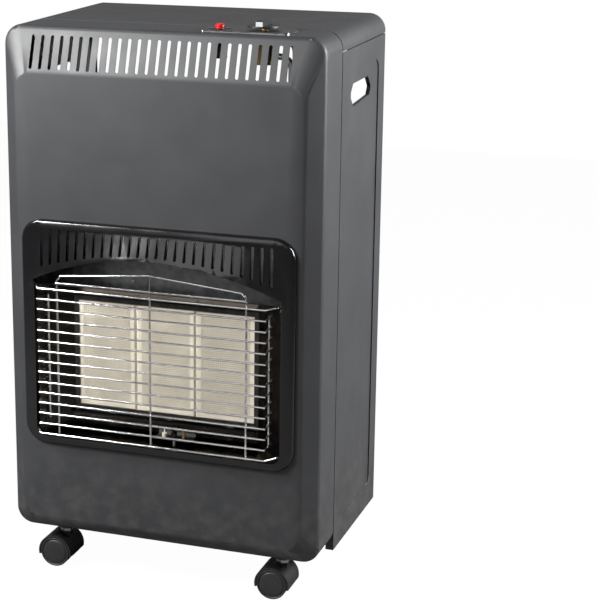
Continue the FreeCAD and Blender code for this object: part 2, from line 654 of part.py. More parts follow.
def level_reflector(label, near, far):
    """Upper or lower sheet: its underside runs from a rear height to a front one, its ends flare."""
    piece = body(label)
    inner, flare = "(%s - reflector_gauge - piece_gap)" % BURNER_HALF, "(mouth_width / 2 - piece_gap)"
    slab(piece, "YZ", "-" + flare, [(REFLECTOR_FRONT, far), (REFLECTOR_REAR, near),
                                    (REFLECTOR_REAR, near + " + reflector_gauge"),
                                    (REFLECTOR_FRONT, far + " + reflector_gauge")], "2 * " + flare)
    flat = sketch(piece, "XY", near + " + mouth_width")
    for side in (-1, 1):
        outline(flat, [("%d * %s" % (side, inner), REFLECTOR_REAR), ("%d * %s" % (side, flare), REFLECTOR_FRONT),
                       ("%d * (%s + gauge)" % (side, flare), REFLECTOR_REAR)])
    pocket(piece, flat, "2 * mouth_width")
    return piece


def side_reflector(label, side, low, high):
    """Side sheet, its upper and lower edges cut to meet the level ones."""
    piece = body(label)
    near, far = "(%s - reflector_gauge)" % BURNER_HALF, "(mouth_width / 2)"
    slab(piece, "XY", low[1], [
        ("%d * %s" % (side, near), REFLECTOR_REAR), ("%d * %s" % (side, far), REFLECTOR_FRONT),
        ("%d * (%s + reflector_gauge)" % (side, far), REFLECTOR_FRONT),
        ("%d * (%s + reflector_gauge)" % (side, near), REFLECTOR_REAR)], "%s - (%s)" % (high[1], low[1]))
    flat = sketch(piece, "YZ", "-mouth_width")
    outline(flat, [(REFLECTOR_REAR, low[0]), (REFLECTOR_FRONT, low[1]), (REFLECTOR_REAR, low[1] + " - gauge")])
    outline(flat, [(REFLECTOR_REAR, high[0]), (REFLECTOR_FRONT, high[1]), (REFLECTOR_REAR, high[1] + " + gauge")])
    pocket(piece, flat, "2 * mouth_width", True)


def reflectors():
    """Top, bottom and two side sheets that flare from the plaque frame to the bezel's lip."""
    head = "(%s - lip_depth)" % arch("mouth_width / 2", "arch_top", "arch_radius")
    floor = "(%s - reflector_drop)" % BOX_LOW
    level_reflector("top_reflector", BOX_HIGH + " - reflector_gauge", head)
    sill = "(mouth_low - reflector_gauge)"
    lower = level_reflector("bottom_reflector", floor, sill)
    bore(lower, "XY", BOX_LOW, "pilot_x", PILOT_Y, "pilot_tube_radius + piece_gap", "2 * reflector_drop")
    for side, name in ((-1, "left"), (1, "right")):
        side_reflector(name + "_reflector", side, (floor, sill), (BOX_HIGH, head + " + reflector_gauge"))


def burner_brackets():
    """Two angle brackets that hang the chamber from the heat shield's sides."""
    piece = body("burner_brackets")
    inner = BURNER_HALF
    outer = "(shield_half - gauge)"
    depth = "box_depth / 3"
    middle = "((plaque_low + plaque_high) / 2)"
    for side in ("-", ""):
        strip = [side + inner, side + outer]
        fold = [side + "(%s - gauge)" % outer, side + outer]
        if side:
            strip.reverse()
            fold.reverse()
        slab(piece, "XZ", PLAQUE_BACK, rectangle(strip[0], strip[1], middle + " - bracket_high / 2",
                                                 middle + " + bracket_high / 2"), "gauge", True)
        slab(piece, "XZ", PLAQUE_BACK, rectangle(fold[0], fold[1], middle + " - bracket_high / 2",
                                                 middle + " + bracket_high / 2"), depth, True)


def heat_shield():
    """Folded sheet round the burner's sides and back, open above and below for rising air."""
    piece = body("heat_shield")
    back = "(-seam_half - gauge - shield_setback)"
    slab(piece, "XZ", back, rectangle("-shield_half", "shield_half", "shield_low", "shield_high"), "gauge")
    for side in ("-", ""):
        wall = [side + "(shield_half - gauge)", side + "shield_half"]
        if side:
            wall.reverse()
        slab(piece, "XZ", back, rectangle(wall[0], wall[1], "shield_low", "shield_high"),
             "%s - (%s) " % (back, SHELL_INNER_Y))


def flame_bar():
    """Cross-lighting channel under the plaques, folded to an L."""
    piece = body("flame_bar")
    top = "(%s - flame_bar_drop + flame_bar_size / 2)" % BOX_LOW
    rear = REFLECTOR_REAR
    slab(piece, "YZ", "-" + BURNER_HALF + " + flame_bar_inset", [
        (rear, top), ("%s - flame_bar_size * 2" % rear, top),
        ("%s - flame_bar_size * 2" % rear, "%s - flame_bar_size" % top),
        ("%s - flame_bar_size * 2 + gauge" % rear, "%s - flame_bar_size" % top),
        ("%s - flame_bar_size * 2 + gauge" % rear, top + " - gauge"), (rear, top + " - gauge")],
        "2 * (%s - flame_bar_inset)" % BURNER_HALF)


def gas_line():
    """Injector manifold with its three jets, and the mixing tubes above them."""
    manifold = body("injector_manifold")
    rod(manifold, "YZ", "-manifold_length / 2", "-gas_line_y", MANIFOLD_Z, "manifold_radius",
        "manifold_length")
    tubes = body("venturi_tubes")
    for place in (-1, 0, 1):
        x = "(%d * (plaque_width + plaque_gap))" % place
        rod(manifold, "XY", MANIFOLD_Z, x, "-gas_line_y", "jet_radius", "manifold_radius + jet_height")
        foot = "(%s + manifold_radius + jet_height / 3)" % MANIFOLD_Z
        ring = circle(sketch(tubes, "XY", foot), x, "-gas_line_y", "venturi_radius")
        circle(ring, x, "-gas_line_y", "venturi_radius - gauge")
        pad(tubes, ring, "%s + gauge - %s" % (BOX_LOW, foot))


def pilot():
    """Bracket under the flame bar with the pilot burner, spark electrode and thermocouple."""
    bracket = body("pilot_bracket")
    top = "(%s - flame_bar_drop - flame_bar_size)" % BOX_LOW
    low = "(%s - pilot_drop)" % top
    rear = "(%s - flame_bar_size)" % REFLECTOR_REAR
    left, right = "pilot_x - pilot_width / 2", "pilot_x + pilot_width / 2"
    slab(bracket, "XZ", rear, rectangle(left, right, low, top + " + flame_bar_size"), "gauge")
    slab(bracket, "XY", low, rectangle(left, right, rear + " - pilot_shelf", rear), "gauge")
    shelf = "(%s + gauge)" % low
    burner = body("pilot_burner")
    rod(burner, "XY", shelf, "pilot_x", PILOT_Y, "pilot_radius", "pilot_drop")
    rod(burner, "XY", "%s + pilot_drop" % shelf, "pilot_x", PILOT_Y, "pilot_tip", "pilot_radius")
    electrode = body("spark_electrode")
    spark_x, probe_x = "pilot_x - probe_spacing", "pilot_x + probe_spacing"
    rod(electrode, "XY", shelf, spark_x, PILOT_Y, "insulator_radius", "insulator_height")
    rod(electrode, "XY", shelf, spark_x, PILOT_Y, "electrode_radius", "pilot_drop + pilot_radius")
    probe = body("thermocouple")
    rod(probe, "XY", low + " - gauge", probe_x, PILOT_Y, "probe_radius", "pilot_drop + pilot_radius + gauge")
    bore(bracket, "XY", shelf + " + gauge", probe_x, PILOT_Y, "probe_radius", "gauge * 3")


# ---------------------------------------------------------------- controls

def control_plate():
    """Bright plate let on to the shell's top, with a dish round the button."""
    piece = body("control_plate")
    slab(piece, "XY", "cabinet_top", rounded(
        "plate_left", "plate_right", "-plate_middle_y - plate_depth / 2",
        "-plate_middle_y + plate_depth / 2", "plate_round"), "plate_thick")
    bore(piece, "XY", PLATE_TOP, "button_x", "-plate_middle_y", "dish_radius", "plate_thick / 2")
    bore(piece, "XY", PLATE_TOP, "button_x", "-plate_middle_y", "button_radius + running_gap", "plate_thick * 2")
    bore(piece, "XY", PLATE_TOP, "knob_x", "-plate_middle_y", TAP_HOLE, "plate_thick * 2")


def igniter():
    """Piezo body hung under the plate, and its push button."""
    piece = body("igniter_body")
    rod(piece, "XY", "cabinet_top - igniter_length", "button_x", "-plate_middle_y", "igniter_radius",
        "igniter_length")
    bore(piece, "XY", "cabinet_top", "button_x", "-plate_middle_y", "button_radius + running_gap",
         "button_stem + button_travel + plate_thick")
    rod(piece, "XY", TOP_INNER + " - nut_thick", "button_x", "-plate_middle_y",
        "igniter_radius + nut_thick", "nut_thick")
    bore(piece, "XY", "cabinet_top", "button_x", "-plate_middle_y", "button_radius + running_gap",
         "button_stem + button_travel + plate_thick")
    button = body("igniter_button")
    stem = rod(button, "XY", "cabinet_top - button_stem", "button_x", "-plate_middle_y", "button_radius",
               "button_stem + plate_thick + button_rise")
    doc.recompute()
    rim = edges_where(stem.Shape, lambda e, m: m.z > value(PLATE_TOP))
    bevel(button, stem, rim, "button_bevel")


def gas_tap():
    """Valve block under the knob, its sliding collar, the spindle and the knob."""
    y = "-plate_middle_y"
    block = body("gas_tap_body")
    top = TOP_INNER
    slab(block, "XY", top + " - tap_height", rounded(
        "knob_x - tap_size / 2", "knob_x + tap_size / 2", y + " - tap_size / 2", y + " + tap_size / 2",
        "edge_bend"), "tap_height")
    rod(block, "XY", top, "knob_x", y, TAP_NECK, "gauge")
    bore(block, "XY", "cabinet_top", "knob_x", y, "collar_radius + running_gap", COLLAR_WELL)
    bore(block, "XY", "cabinet_top", "knob_x", y, "spindle_radius + running_gap",
         "%s + spindle_foot + knob_travel + plate_thick" % COLLAR_WELL)
    collar = body("spindle_collar")
    ring = circle(sketch(collar, "XY", "cabinet_top - collar_drop - collar_thick"), "knob_x", y,
                  "collar_radius")
    circle(ring, "knob_x", y, "spindle_radius + running_gap")
    pad(collar, ring, "collar_thick")
    spindle = body("tap_spindle")
    foot = "(cabinet_top - %s - spindle_foot)" % COLLAR_WELL
    rod(spindle, "XY", foot, "knob_x", y, "spindle_radius", "%s + spindle_seat - %s" % (KNOB_LOW, foot))
    flat = "(%s - spindle_seat)" % KNOB_LOW
    window(spindle, "XY", "%s + spindle_seat + gauge" % KNOB_LOW, rectangle(
        "knob_x + spindle_radius / 2", "knob_x + spindle_radius * 2", y + " - spindle_radius * 2",
        y + " + spindle_radius * 2"), "%s + spindle_seat + gauge - %s" % (KNOB_LOW, flat))
    knob = body("control_knob")
    rod(knob, "XY", KNOB_LOW, "knob_x", y, "knob_radius", "knob_skirt")
    grip = slab(knob, "XY", KNOB_LOW, rectangle(
        "knob_x - grip_width / 2", "knob_x + grip_width / 2", y + " - grip_length / 2",
        y + " + grip_length / 2"), "knob_height")
    doc.recompute()
    top_z = value(KNOB_LOW + " + knob_height")
    crest = edges_where(grip.Shape, lambda e, m: m.z > top_z - 1e-3)
    bevel(knob, grip, crest, "grip_bevel")
    bore(knob, "XY", KNOB_LOW, "knob_x", y, "spindle_radius", "spindle_seat", True)
    tail = body("gas_inlet")
    rear = y + " + tap_size / 2"
    z = "(%s - tap_height + tail_radius + 2 * gauge + piece_gap)" % top
    rod(tail, "XZ", rear, "knob_x", z, "tail_radius", "tail_length", True)
    rod(tail, "XZ", rear, "knob_x", z, "tail_radius + 2 * gauge", "tail_hex", True)


def tubes():
    """Gas tube from the tap to the manifold, and the thin pilot tube."""
    y = -value("plate_middle_y")
    tap_top = value(TOP_INNER)
    tap_x, tap_z = value("knob_x + tap_size / 2"), tap_top - value("outlet_drop")
    side_x = value("shield_half - supply_inset")
    low = value(MANIFOLD_Z)
    supply_y = -value("gas_line_y")
    supply = turned([(tap_x, supply_y, tap_z), (side_x, supply_y, tap_z), (side_x, supply_y, low),
                     (value("manifold_length / 2"), supply_y, low)], value("tube_bend"), 4)
    formed("supply_tube", [mitred(supply, value("tube_radius"))])
    pilot_x, pilot_y = value("pilot_x"), value(PILOT_Y)
    shelf = value("%s - flame_bar_drop - flame_bar_size - pilot_drop" % BOX_LOW)
    down_x, floor = value("shield_half - tube_bend"), shelf - value("pilot_tube_drop")
    knob_x, start_z = value("knob_x"), tap_top - value("pilot_outlet_drop")
    run_y = -value("pilot_tube_y")
    thin = turned([(knob_x, y - value("tap_size / 2"), start_z), (knob_x, run_y, start_z),
                   (down_x, run_y, start_z), (down_x, run_y, floor), (down_x, pilot_y, floor),
                   (pilot_x, pilot_y, floor), (pilot_x, pilot_y, shelf)], value("pilot_tube_bend"), 3)
    formed("pilot_tube", [mitred(thin, value("pilot_tube_radius"))])


# ---------------------------------------------------------------- folding rear

def side_panel(label, side):
    """Pressed side: flanges on four edges, embossed field, hand hole and hinge tabs."""
    piece = body(label)
    outer, inner = "%s * %s" % (side, HALF), "%s * (%s - gauge)" % (side, HALF)
    inward = side == 1
    slab(piece, "YZ", outer, rectangle("seam_half", "rear_depth", "panel_low", PANEL_HIGH), "gauge", inward)

    def flange(points):
        slab(piece, "YZ", outer, points, "panel_flange", inward)

    flange(rectangle("seam_half", "seam_half + gauge", "panel_low", PANEL_HIGH))
    flange(rectangle("rear_depth - gauge", "rear_depth", "panel_low", PANEL_HIGH))
    flange(rectangle("seam_half", "rear_depth", "panel_low", "panel_low + gauge"))
    flange(rectangle("top_flange_start", "rear_depth", PANEL_HIGH + " - gauge", PANEL_HIGH))
    field = rounded("emboss_front", "emboss_rear", "emboss_low", "emboss_high", "emboss_round")
    slab(piece, "YZ", outer, field, "emboss_depth + gauge", inward)
    window(piece, "YZ", outer, rounded("emboss_front + gauge", "emboss_rear - gauge", "emboss_low + gauge",
                                       "emboss_high - gauge", "(emboss_round - gauge)"), "emboss_depth",
           not inward)
    slab(piece, "YZ", "%s * (%s - emboss_depth)" % (side, HALF), hand_hole("hand_lip"), "hand_depth", inward)
    pocket(piece, outline(sketch(piece, "YZ", "%s * (%s + gauge)" % (side, HALF)), hand_hole("0")),
           "hand_depth + emboss_depth + gauge * 3", not inward)
    for number in range(int(value("hinge_count"))):
        z = hinge_height(number)
        left, right = hinge_notch(side)
        window(piece, "XZ", "seam_half - gauge", rectangle(left, right, z + " - notch_high / 2",
                                                           z + " + notch_high / 2"), "gauge * 3")
        tab(piece, side, z + " + piece_gap / 2")


def hand_hole(grow):
    """Outline of the hand hole in a side panel, grown evenly by a lip."""
    front, rear = "(hand_front - %s)" % grow, "(hand_rear + %s)" % grow
    low, high = "(hand_low - %s)" % grow, "(hand_high + %s)" % grow
    return [(front, low + " + hand_front_cut"), (front + " + hand_front_cut", low),
            (rear + " - hand_rear_cut / 2", low + " + hand_slope"), (rear, low + " + hand_rear_cut"),
            (rear + " - hand_rear_cut", high), (front + " + hand_top_cut", high),
            (front, high + " - hand_top_cut")]


def tab(piece, side, low):
    """Flat pivot ear of a side panel, with the hole for the hinge pin."""
    edge = "%s * (%s - gauge / 2)" % (side, HALF)
    pivot = "%s * %s" % (side, PIVOT_X)
    corner = [(edge, PIVOT_Y + " - tab_radius"), (edge, PIVOT_Y + " + tab_radius"),
              (pivot, PIVOT_Y + " + tab_radius", "tab_radius", side), (pivot, PIVOT_Y + " - tab_radius")]
    flat = outline(sketch(piece, "XY", low), corner)
    circle(flat, pivot, PIVOT_Y, "pivot_radius + running_gap")
    pad(piece, flat, "tab_thick")


def shell_hinges(label, side):
    """Brackets inside the shell, each with an ear that reaches back to a side panel's pivot."""
    piece = body(label)
    wall = "%s * (%s - gauge)" % (side, HALF)
    pivot = "%s * %s" % (side, PIVOT_X)
    back = "(-seam_half - gauge - hinge_reach)"
    neck = "%s * (%s - hinge_keep - piece_gap)" % (side, HALF)
    for number in range(int(value("hinge_count"))):
        low = hinge_height(number) + " - piece_gap / 2 - tab_thick"
        front_x = "%s * (%s - tab_radius)" % (side, PIVOT_X)
        ear = [(front_x, back), (wall, back), (wall, "-seam_half - gauge - piece_gap"),
               (neck, "-seam_half - gauge - piece_gap"), (neck, PIVOT_Y + " + tab_radius"),
               (front_x, PIVOT_Y + " + tab_radius")]
        flat = outline(sketch(piece, "XY", low), ear)
        circle(flat, pivot, PIVOT_Y, "pivot_radius")
        pad(piece, flat, "tab_thick")
        slab(piece, "XY", low, rectangle(*sorted_pair(wall, "%s * (%s - gauge * 2)" % (side, HALF), side),
                                         back, "-seam_half - gauge - piece_gap"), "hinge_foot", True)


def hinge_pins(label, side):
    """One pin through each pair of ears."""
    piece = body(label)
    for number in range(int(value("hinge_count"))):
        low = hinge_height(number) + " - tab_thick * 1.5 - piece_gap / 2"
        rod(piece, "XY", low, "%s * %s" % (side, PIVOT_X), PIVOT_Y, "pivot_radius",
            "tab_thick * 3 + piece_gap")


def sides():
    """Both side panels with their hinges."""
    for side, name in ((-1, "left"), (1, "right")):
        side_panel(name + "_side_panel", side)
        shell_hinges(name + "_hinge_brackets", side)
        hinge_pins(name + "_hinge_pins", side)


def top_lid():
    """Top cover with skirts on three sides and two lugs that hang from the shell's pivots."""
    piece = body("top_lid")
    low = "(cabinet_top - skirt)"
    arch_ends = [("-" + HALF, low), (HALF, low), (HALF, "cabinet_top - corner_round", "corner_round", 1),
                 (HALF + " - corner_round", "cabinet_top"),
                 ("-%s + corner_round" % HALF, "cabinet_top", "corner_round", 1),
                 ("-" + HALF, "cabinet_top - corner_round")]
    slab(piece, "XZ", "seam_half", arch_ends, "rear_depth - seam_half", True)
    inner = "(%s - gauge)" % HALF
    roof = "(cabinet_top - gauge)"
    turn = "(corner_round - gauge)"
    window(piece, "XZ", "seam_half - gauge", [
        ("-" + inner, low + " - gauge"), (inner, low + " - gauge"), (inner, "%s - %s" % (roof, turn), turn, 1),
        ("%s - %s" % (inner, turn), roof), ("-%s + %s" % (inner, turn), roof, turn, 1),
        ("-" + inner, "%s - %s" % (roof, turn))], "rear_depth - seam_half")
    for side in (-1, 1):
        x = "%d * %s" % (side, LID_LUG_X)
        lug = [("seam_half", TOP_INNER), ("lid_hinge_y - lid_lug_radius + gauge", LID_PIVOT_Z + " + gauge"),
               ("lid_hinge_y - lid_lug_radius + gauge", LID_PIVOT_Z + " - lid_lug_radius"),
               ("lid_hinge_y + lid_lug_radius", LID_PIVOT_Z + " - lid_lug_radius"),
               ("lid_hinge_y + lid_lug_radius", LID_PIVOT_Z + " + lid_lug_radius"),
               ("seam_half + lug_width", TOP_INNER)]
        flat = outline(sketch(piece, "YZ", x), lug)
        circle(flat, "lid_hinge_y", LID_PIVOT_Z, "lid_pin_radius + running_gap")
        pad(piece, flat, "tab_thick")


def lid_hinge():
    """Shell brackets for the lid and their pins."""
    brackets = body("lid_hinge_brackets")
    pins = body("lid_hinge_pins")
    for side in (-1, 1):
        x = "(%d * %s + %d * (tab_thick + piece_gap))" % (side, LID_LUG_X, side)
        front = "(-seam_half - gauge - lid_bracket_reach)"
        plate = [(front, TOP_INNER), (front, LID_PIVOT_Z + " - lid_lug_radius"),
                 ("lid_hinge_y + lid_lug_radius", LID_PIVOT_Z + " - lid_lug_radius"),
                 ("lid_hinge_y + lid_lug_radius", LID_PIVOT_Z + " + lid_lug_radius"),
                 ("-seam_half - gauge", LID_PIVOT_Z + " + lid_lug_radius"),
                 ("-seam_half - gauge", TOP_INNER)]
        flat = outline(sketch(brackets, "YZ", x), plate)
        circle(flat, "lid_hinge_y", LID_PIVOT_Z, "lid_pin_radius")
        pad(brackets, flat, "tab_thick")
        start = "%d * %s - tab_thick - piece_gap * 2" % (side, LID_LUG_X)
        rod(pins, "YZ", start, "lid_hinge_y", LID_PIVOT_Z, "lid_pin_radius", "tab_thick * 3 + piece_gap * 4")


def base_tray():
    """Pressed tray for the gas bottle: rim all round, deeper towards the back, and a round track."""
    piece = body("base_tray")
    half = "tray_width / 2"
    rim_low = "(tray_skin_top - tray_rim)"
    plan = [("-" + half, "tray_front"), (half, "tray_front"), (half, "tray_rear - tray_round", "tray_round", 1),
            (half + " - tray_round", "tray_rear"), ("-%s + tray_round" % half, "tray_rear", "tray_round", 1),
            ("-" + half, "tray_rear - tray_round")]
    block = slab(piece, "XY", rim_low, plan, "tray_rim")
    doc.recompute()
    rim = edges_where(block.Shape, lambda e, m: m.z > value("tray_skin_top") - 1e-3)
    bevel(piece, block, rim, "tray_edge")
    inset = "gauge"
    inner = [("-%s + %s" % (half, inset), "tray_front + " + inset), ("%s - %s" % (half, inset), "tray_front + " + inset),
             ("%s - %s" % (half, inset), "tray_rear - tray_round", "(tray_round - gauge)", 1),
             (half + " - tray_round", "tray_rear - " + inset),
             ("-%s + tray_round" % half, "tray_rear - " + inset, "(tray_round - gauge)", 1),
             ("-%s + %s" % (half, inset), "tray_rear - tray_round")]
    window(piece, "XY", rim_low, inner, "tray_rim - gauge", True)
    window(piece, "YZ", "-tray_width", [("tray_front - gauge", rim_low + " - gauge"),
                                        ("tray_front + tray_taper", rim_low + " - gauge"),
                                        ("tray_front - gauge", "tray_skin_top - tray_rim / 2")],
           "tray_width * 2", True)
    holes = sketch(piece, "XY", "tray_skin_top + gauge")
    for side in ("-", ""):
        circle(holes, side + "rear_castor_x", "rear_castor_y", "socket_radius + piece_gap")
    pocket(piece, holes, "gauge * 3")
    for side in (-1, 1):
        for step in (0, 1):
            start = "(%d * (tray_hinge_x + %d * tray_leaf))" % (side, step * 2)
            knuckle(piece, start, side, "tray_front + gauge")


def knuckle(piece, start, side, reach):
    """A barrel on the tray's hinge line with a leaf to its sheet."""
    flat = circle(sketch(piece, "YZ", start), "tray_pivot_y", "tray_pivot_z", "tray_knuckle")
    circle(flat, "tray_pivot_y", "tray_pivot_z", "tray_pin_radius + running_gap")
    pad(piece, flat, "tray_leaf - piece_gap", side < 0)
    slab(piece, "YZ", start, rectangle("tray_pivot_y + tray_pin_radius + 3 * running_gap", reach,
                                       "tray_pivot_z - gauge / 2", "tray_pivot_z + gauge / 2"),
         "tray_leaf - piece_gap", side < 0)


def tray_hinge():
    """Leaves under the shell's rear edge, and the two pins."""
    leaves = body("tray_hinge_leaves")
    pins = body("tray_hinge_pins")
    for side in (-1, 1):
        start = "(%d * (tray_hinge_x + tray_leaf))" % side
        flat = circle(sketch(leaves, "YZ", start), "tray_pivot_y", "tray_pivot_z", "tray_knuckle")
        circle(flat, "tray_pivot_y", "tray_pivot_z", "tray_pin_radius")
        pad(leaves, flat, "tray_leaf - piece_gap", side < 0)
        strip = [("tray_pivot_y - tray_pin_radius - running_gap", "tray_pivot_z - gauge / 2"),
                 ("tray_pivot_y - tray_pin_radius - running_gap", "tray_pivot_z + gauge / 2"),
                 ("-leaf_setback + gauge", "tray_pivot_z + gauge / 2"), ("-leaf_setback + gauge", "shell_bottom"),
                 ("-leaf_setback - leaf_foot", "shell_bottom"), ("-leaf_setback - leaf_foot", "shell_bottom - gauge"),
                 ("-leaf_setback", "shell_bottom - gauge"), ("-leaf_setback", "tray_pivot_z - gauge / 2")]
        slab(leaves, "YZ", start, strip, "tray_leaf - piece_gap", side < 0)
        rod(pins, "YZ", "(%d * tray_hinge_x)" % side, "tray_pivot_y", "tray_pivot_z", "tray_pin_radius",
            "3 * tray_leaf - piece_gap", side < 0)


def hose_hooks():
    """L-shaped hooks under the tray's edges, two on each side, lips turned apart."""
    piece = body("hose_hooks")
    top, low = TRAY_SKIN_LOW, "(%s - hook_drop)" % TRAY_SKIN_LOW
    near = "(hook_first + hook_length)"
    for side in (-1, 1):
        x = "%d * (tray_width / 2 - gauge - hook_inset)" % side
        first = [("hook_first + hook_thick", top), ("hook_first + hook_thick", low + " + hook_thick"),
                 ("hook_first - hook_lip", low + " + hook_thick"), ("hook_first - hook_lip", low),
                 (near, low), (near, low + " + hook_thick"), ("%s - hook_length / 2" % near, top)]
        far = "(hook_second + hook_length)"
        second = [("hook_second + hook_length / 2", top), ("hook_second", low + " + hook_thick"),
                  ("hook_second", low), ("%s + hook_lip" % far, low), ("%s + hook_lip" % far, low + " + hook_thick"),
                  ("%s - hook_thick" % far, low + " + hook_thick"), ("%s - hook_thick" % far, top)]
        for points in (first, second):
            slab(piece, "YZ", x, points, "hook_thick", side > 0)


# ---------------------------------------------------------------- castors

def socket(piece, x, y, low, seat):
    """Steel tube with a round flange that is welded to the sheet it passes through."""
    ring = circle(sketch(piece, "XY", low), x, y, "socket_radius")
    circle(ring, x, y, "stem_radius + running_gap")
    pad(piece, ring, "socket_length")
    foot = "socket_flange"
    flat = outline(sketch(piece, "XY", seat), rectangle("%s - %s" % (x, foot), "%s + %s" % (x, foot),
                                                        "%s - %s" % (y, foot), "%s + %s" % (y, foot)))
    circle(flat, x, y, "socket_radius")
    pad(piece, flat, "gauge")


def castor(name, x, y):
    """Twin-wheel castor: hood with a fender over both wheels, axle and two wheels."""
    hood = body("castor_hood_" + name)
    axle_x = "(%s - castor_trail)" % x
    front, rear = "(%s - castor_width / 2)" % y, "(%s + castor_width / 2)" % y
    outer = "(wheel_radius + wheel_clear + castor_wall)"
    reach = "sqrt(%s ^ 2 - hood_drop ^ 2)" % outer
    skirt_low = "wheel_radius - hood_drop"
    slab(hood, "XZ", rear, [
        ("%s + %s" % (axle_x, reach), skirt_low, outer, 1), (axle_x, "wheel_radius + " + outer, outer, 1),
        ("%s - %s" % (axle_x, reach), skirt_low)], "castor_width")
    web = "(castor_width / 2 - wheel_thick - wheel_clear)"
    slab(hood, "XZ", "%s + %s" % (y, web), rectangle(
        "%s - boss_radius" % x, "%s + boss_radius" % x, "wheel_radius", "stem_foot"), "2 * " + web)
    for at, back in ((front, False), (rear, True)):
        bore(hood, "XZ", at, axle_x, "wheel_radius", "wheel_radius + wheel_clear",
             "wheel_thick + wheel_clear", back)
    bore(hood, "XY", "stem_foot", x, y, "stem_radius + running_gap", "stem_depth")
    bore(hood, "XZ", front, axle_x, "wheel_radius", "axle_radius", "castor_width")
    axle = body("castor_axle_" + name)
    rod(axle, "XZ", "%s + axle_half" % y, axle_x, "wheel_radius", "axle_radius", "2 * axle_half")
    wheels = body("castor_wheels_" + name)
    for at, back in ((front, True), (rear, False)):
        rod(wheels, "XZ", at, axle_x, "wheel_radius", "wheel_radius", "wheel_thick", back)
        bore(wheels, "XZ", at, axle_x, "wheel_radius", "wheel_radius - wheel_rim", "wheel_dish", not back)
    bore(wheels, "XZ", "%s - axle_half - piece_gap" % y, axle_x, "wheel_radius", "axle_radius + running_gap",
         "2 * axle_half + 2 * piece_gap")


def castors():
    """Two castors under the shell, two under the tray, with their stems and sockets."""
    corners = (("front_left", "(-front_castor_x)", "(-front_castor_y)"),
               ("front_right", "front_castor_x", "(-front_castor_y)"),
               ("rear_left", "(-rear_castor_x)", "rear_castor_y"),
               ("rear_right", "rear_castor_x", "rear_castor_y"))
    groups = {}
    for end, low, seat in (("front", "shell_bottom - gauge / 2", "shell_bottom + gauge"),
                           ("rear", TRAY_SKIN_LOW + " - gauge", TRAY_SKIN_LOW + " - gauge")):
        groups[end] = (body(end + "_castor_sockets"), body(end + "_castor_stems"), low, seat)
    for name, x, y in corners:
        sockets, stems, low, seat = groups[name.split("_")[0]]
        socket(sockets, x, y, low, seat)
        rod(stems, "XY", "stem_foot - stem_depth + piece_gap", x, y, "stem_radius",
            "stem_length + stem_depth - piece_gap")
        castor(name, x, y)


PIECES = (front_shell, burner_bezel, wire_guard, plaques, burner_box, plaque_frame, reflectors,
          burner_brackets, heat_shield, flame_bar, gas_line, pilot, control_plate, igniter, gas_tap, tubes,
          sides, top_lid, lid_hinge, base_tray, tray_hinge, hose_hooks, castors)


def checked(piece):
    """The sub-part's shape, once it is sound."""
    shape = piece.Shape
    if shape.isNull() or not shape.isValid() or not shape.Solids:
        raise RuntimeError("%s has no sound solid" % piece.Label)
    return shape


def main():
    for build in PIECES:
        build()
    doc.recompute()
    for item in doc.Objects:
        if "Invalid" in item.State or "Error" in item.State:
            raise RuntimeError("%s failed: %s" % (item.Label, item.State))
    os.makedirs("parts", exist_ok=True)
    for piece in NODES:
        checked(piece).exportStep("parts/%s.step" % piece.Label)


main()
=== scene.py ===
"""Finishes and fine detail for a folding gas cabinet heater, laid out as a Blender add-on.

Everything is in metres in the frame of the solids: X to the right of a person facing the burner,
-Y towards that person, Z up, floor at zero.
"""

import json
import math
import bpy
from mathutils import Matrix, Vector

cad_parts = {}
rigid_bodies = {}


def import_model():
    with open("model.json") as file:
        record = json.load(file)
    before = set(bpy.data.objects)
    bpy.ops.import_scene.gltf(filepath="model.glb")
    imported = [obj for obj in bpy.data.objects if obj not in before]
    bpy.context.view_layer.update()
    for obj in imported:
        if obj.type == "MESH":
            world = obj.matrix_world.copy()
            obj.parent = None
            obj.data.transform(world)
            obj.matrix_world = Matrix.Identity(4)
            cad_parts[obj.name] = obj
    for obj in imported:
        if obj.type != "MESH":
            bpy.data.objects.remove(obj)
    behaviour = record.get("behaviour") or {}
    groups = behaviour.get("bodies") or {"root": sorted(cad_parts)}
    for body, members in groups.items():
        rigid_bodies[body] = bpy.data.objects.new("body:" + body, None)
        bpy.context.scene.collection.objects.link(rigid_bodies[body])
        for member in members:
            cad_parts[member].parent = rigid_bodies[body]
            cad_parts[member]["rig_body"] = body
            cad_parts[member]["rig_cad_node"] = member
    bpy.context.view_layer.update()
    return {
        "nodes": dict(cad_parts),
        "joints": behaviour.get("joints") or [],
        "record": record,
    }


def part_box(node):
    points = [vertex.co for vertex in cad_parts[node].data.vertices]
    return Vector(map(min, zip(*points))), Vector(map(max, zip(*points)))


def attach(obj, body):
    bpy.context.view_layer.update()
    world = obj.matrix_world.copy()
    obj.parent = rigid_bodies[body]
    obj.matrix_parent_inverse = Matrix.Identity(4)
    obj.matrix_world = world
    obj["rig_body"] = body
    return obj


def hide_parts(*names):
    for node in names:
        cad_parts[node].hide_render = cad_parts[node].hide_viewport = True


bl_info = {
    "name": "Gas Cabinet Heater Finishes",
    "version": (1, 0, 0),
    "blender": (4, 5, 0),
    "location": "View3D > Sidebar > Heater",
    "description": "Dresses the solids of a folding gas cabinet heater with real finishes and fine detail",
    "category": "Object",
}

import bpy
from mathutils import Matrix, Vector

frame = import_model()
NODE_BODY = {node: body for body, nodes in frame["record"]["behaviour"]["bodies"].items() for node in nodes}
NODE_SLOT = {entry["node"]: entry["material_slot"] for entry in frame["record"]["subparts"]}
# Points closer than these are merged, in a copy of a solid and in a modelled piece.
SOLID_DOUBLES, MADE_DOUBLES = 2e-6, 1e-6
# Facets that differ by less than this lie in one plane.
FLAT_ANGLE = math.radians(0.4)
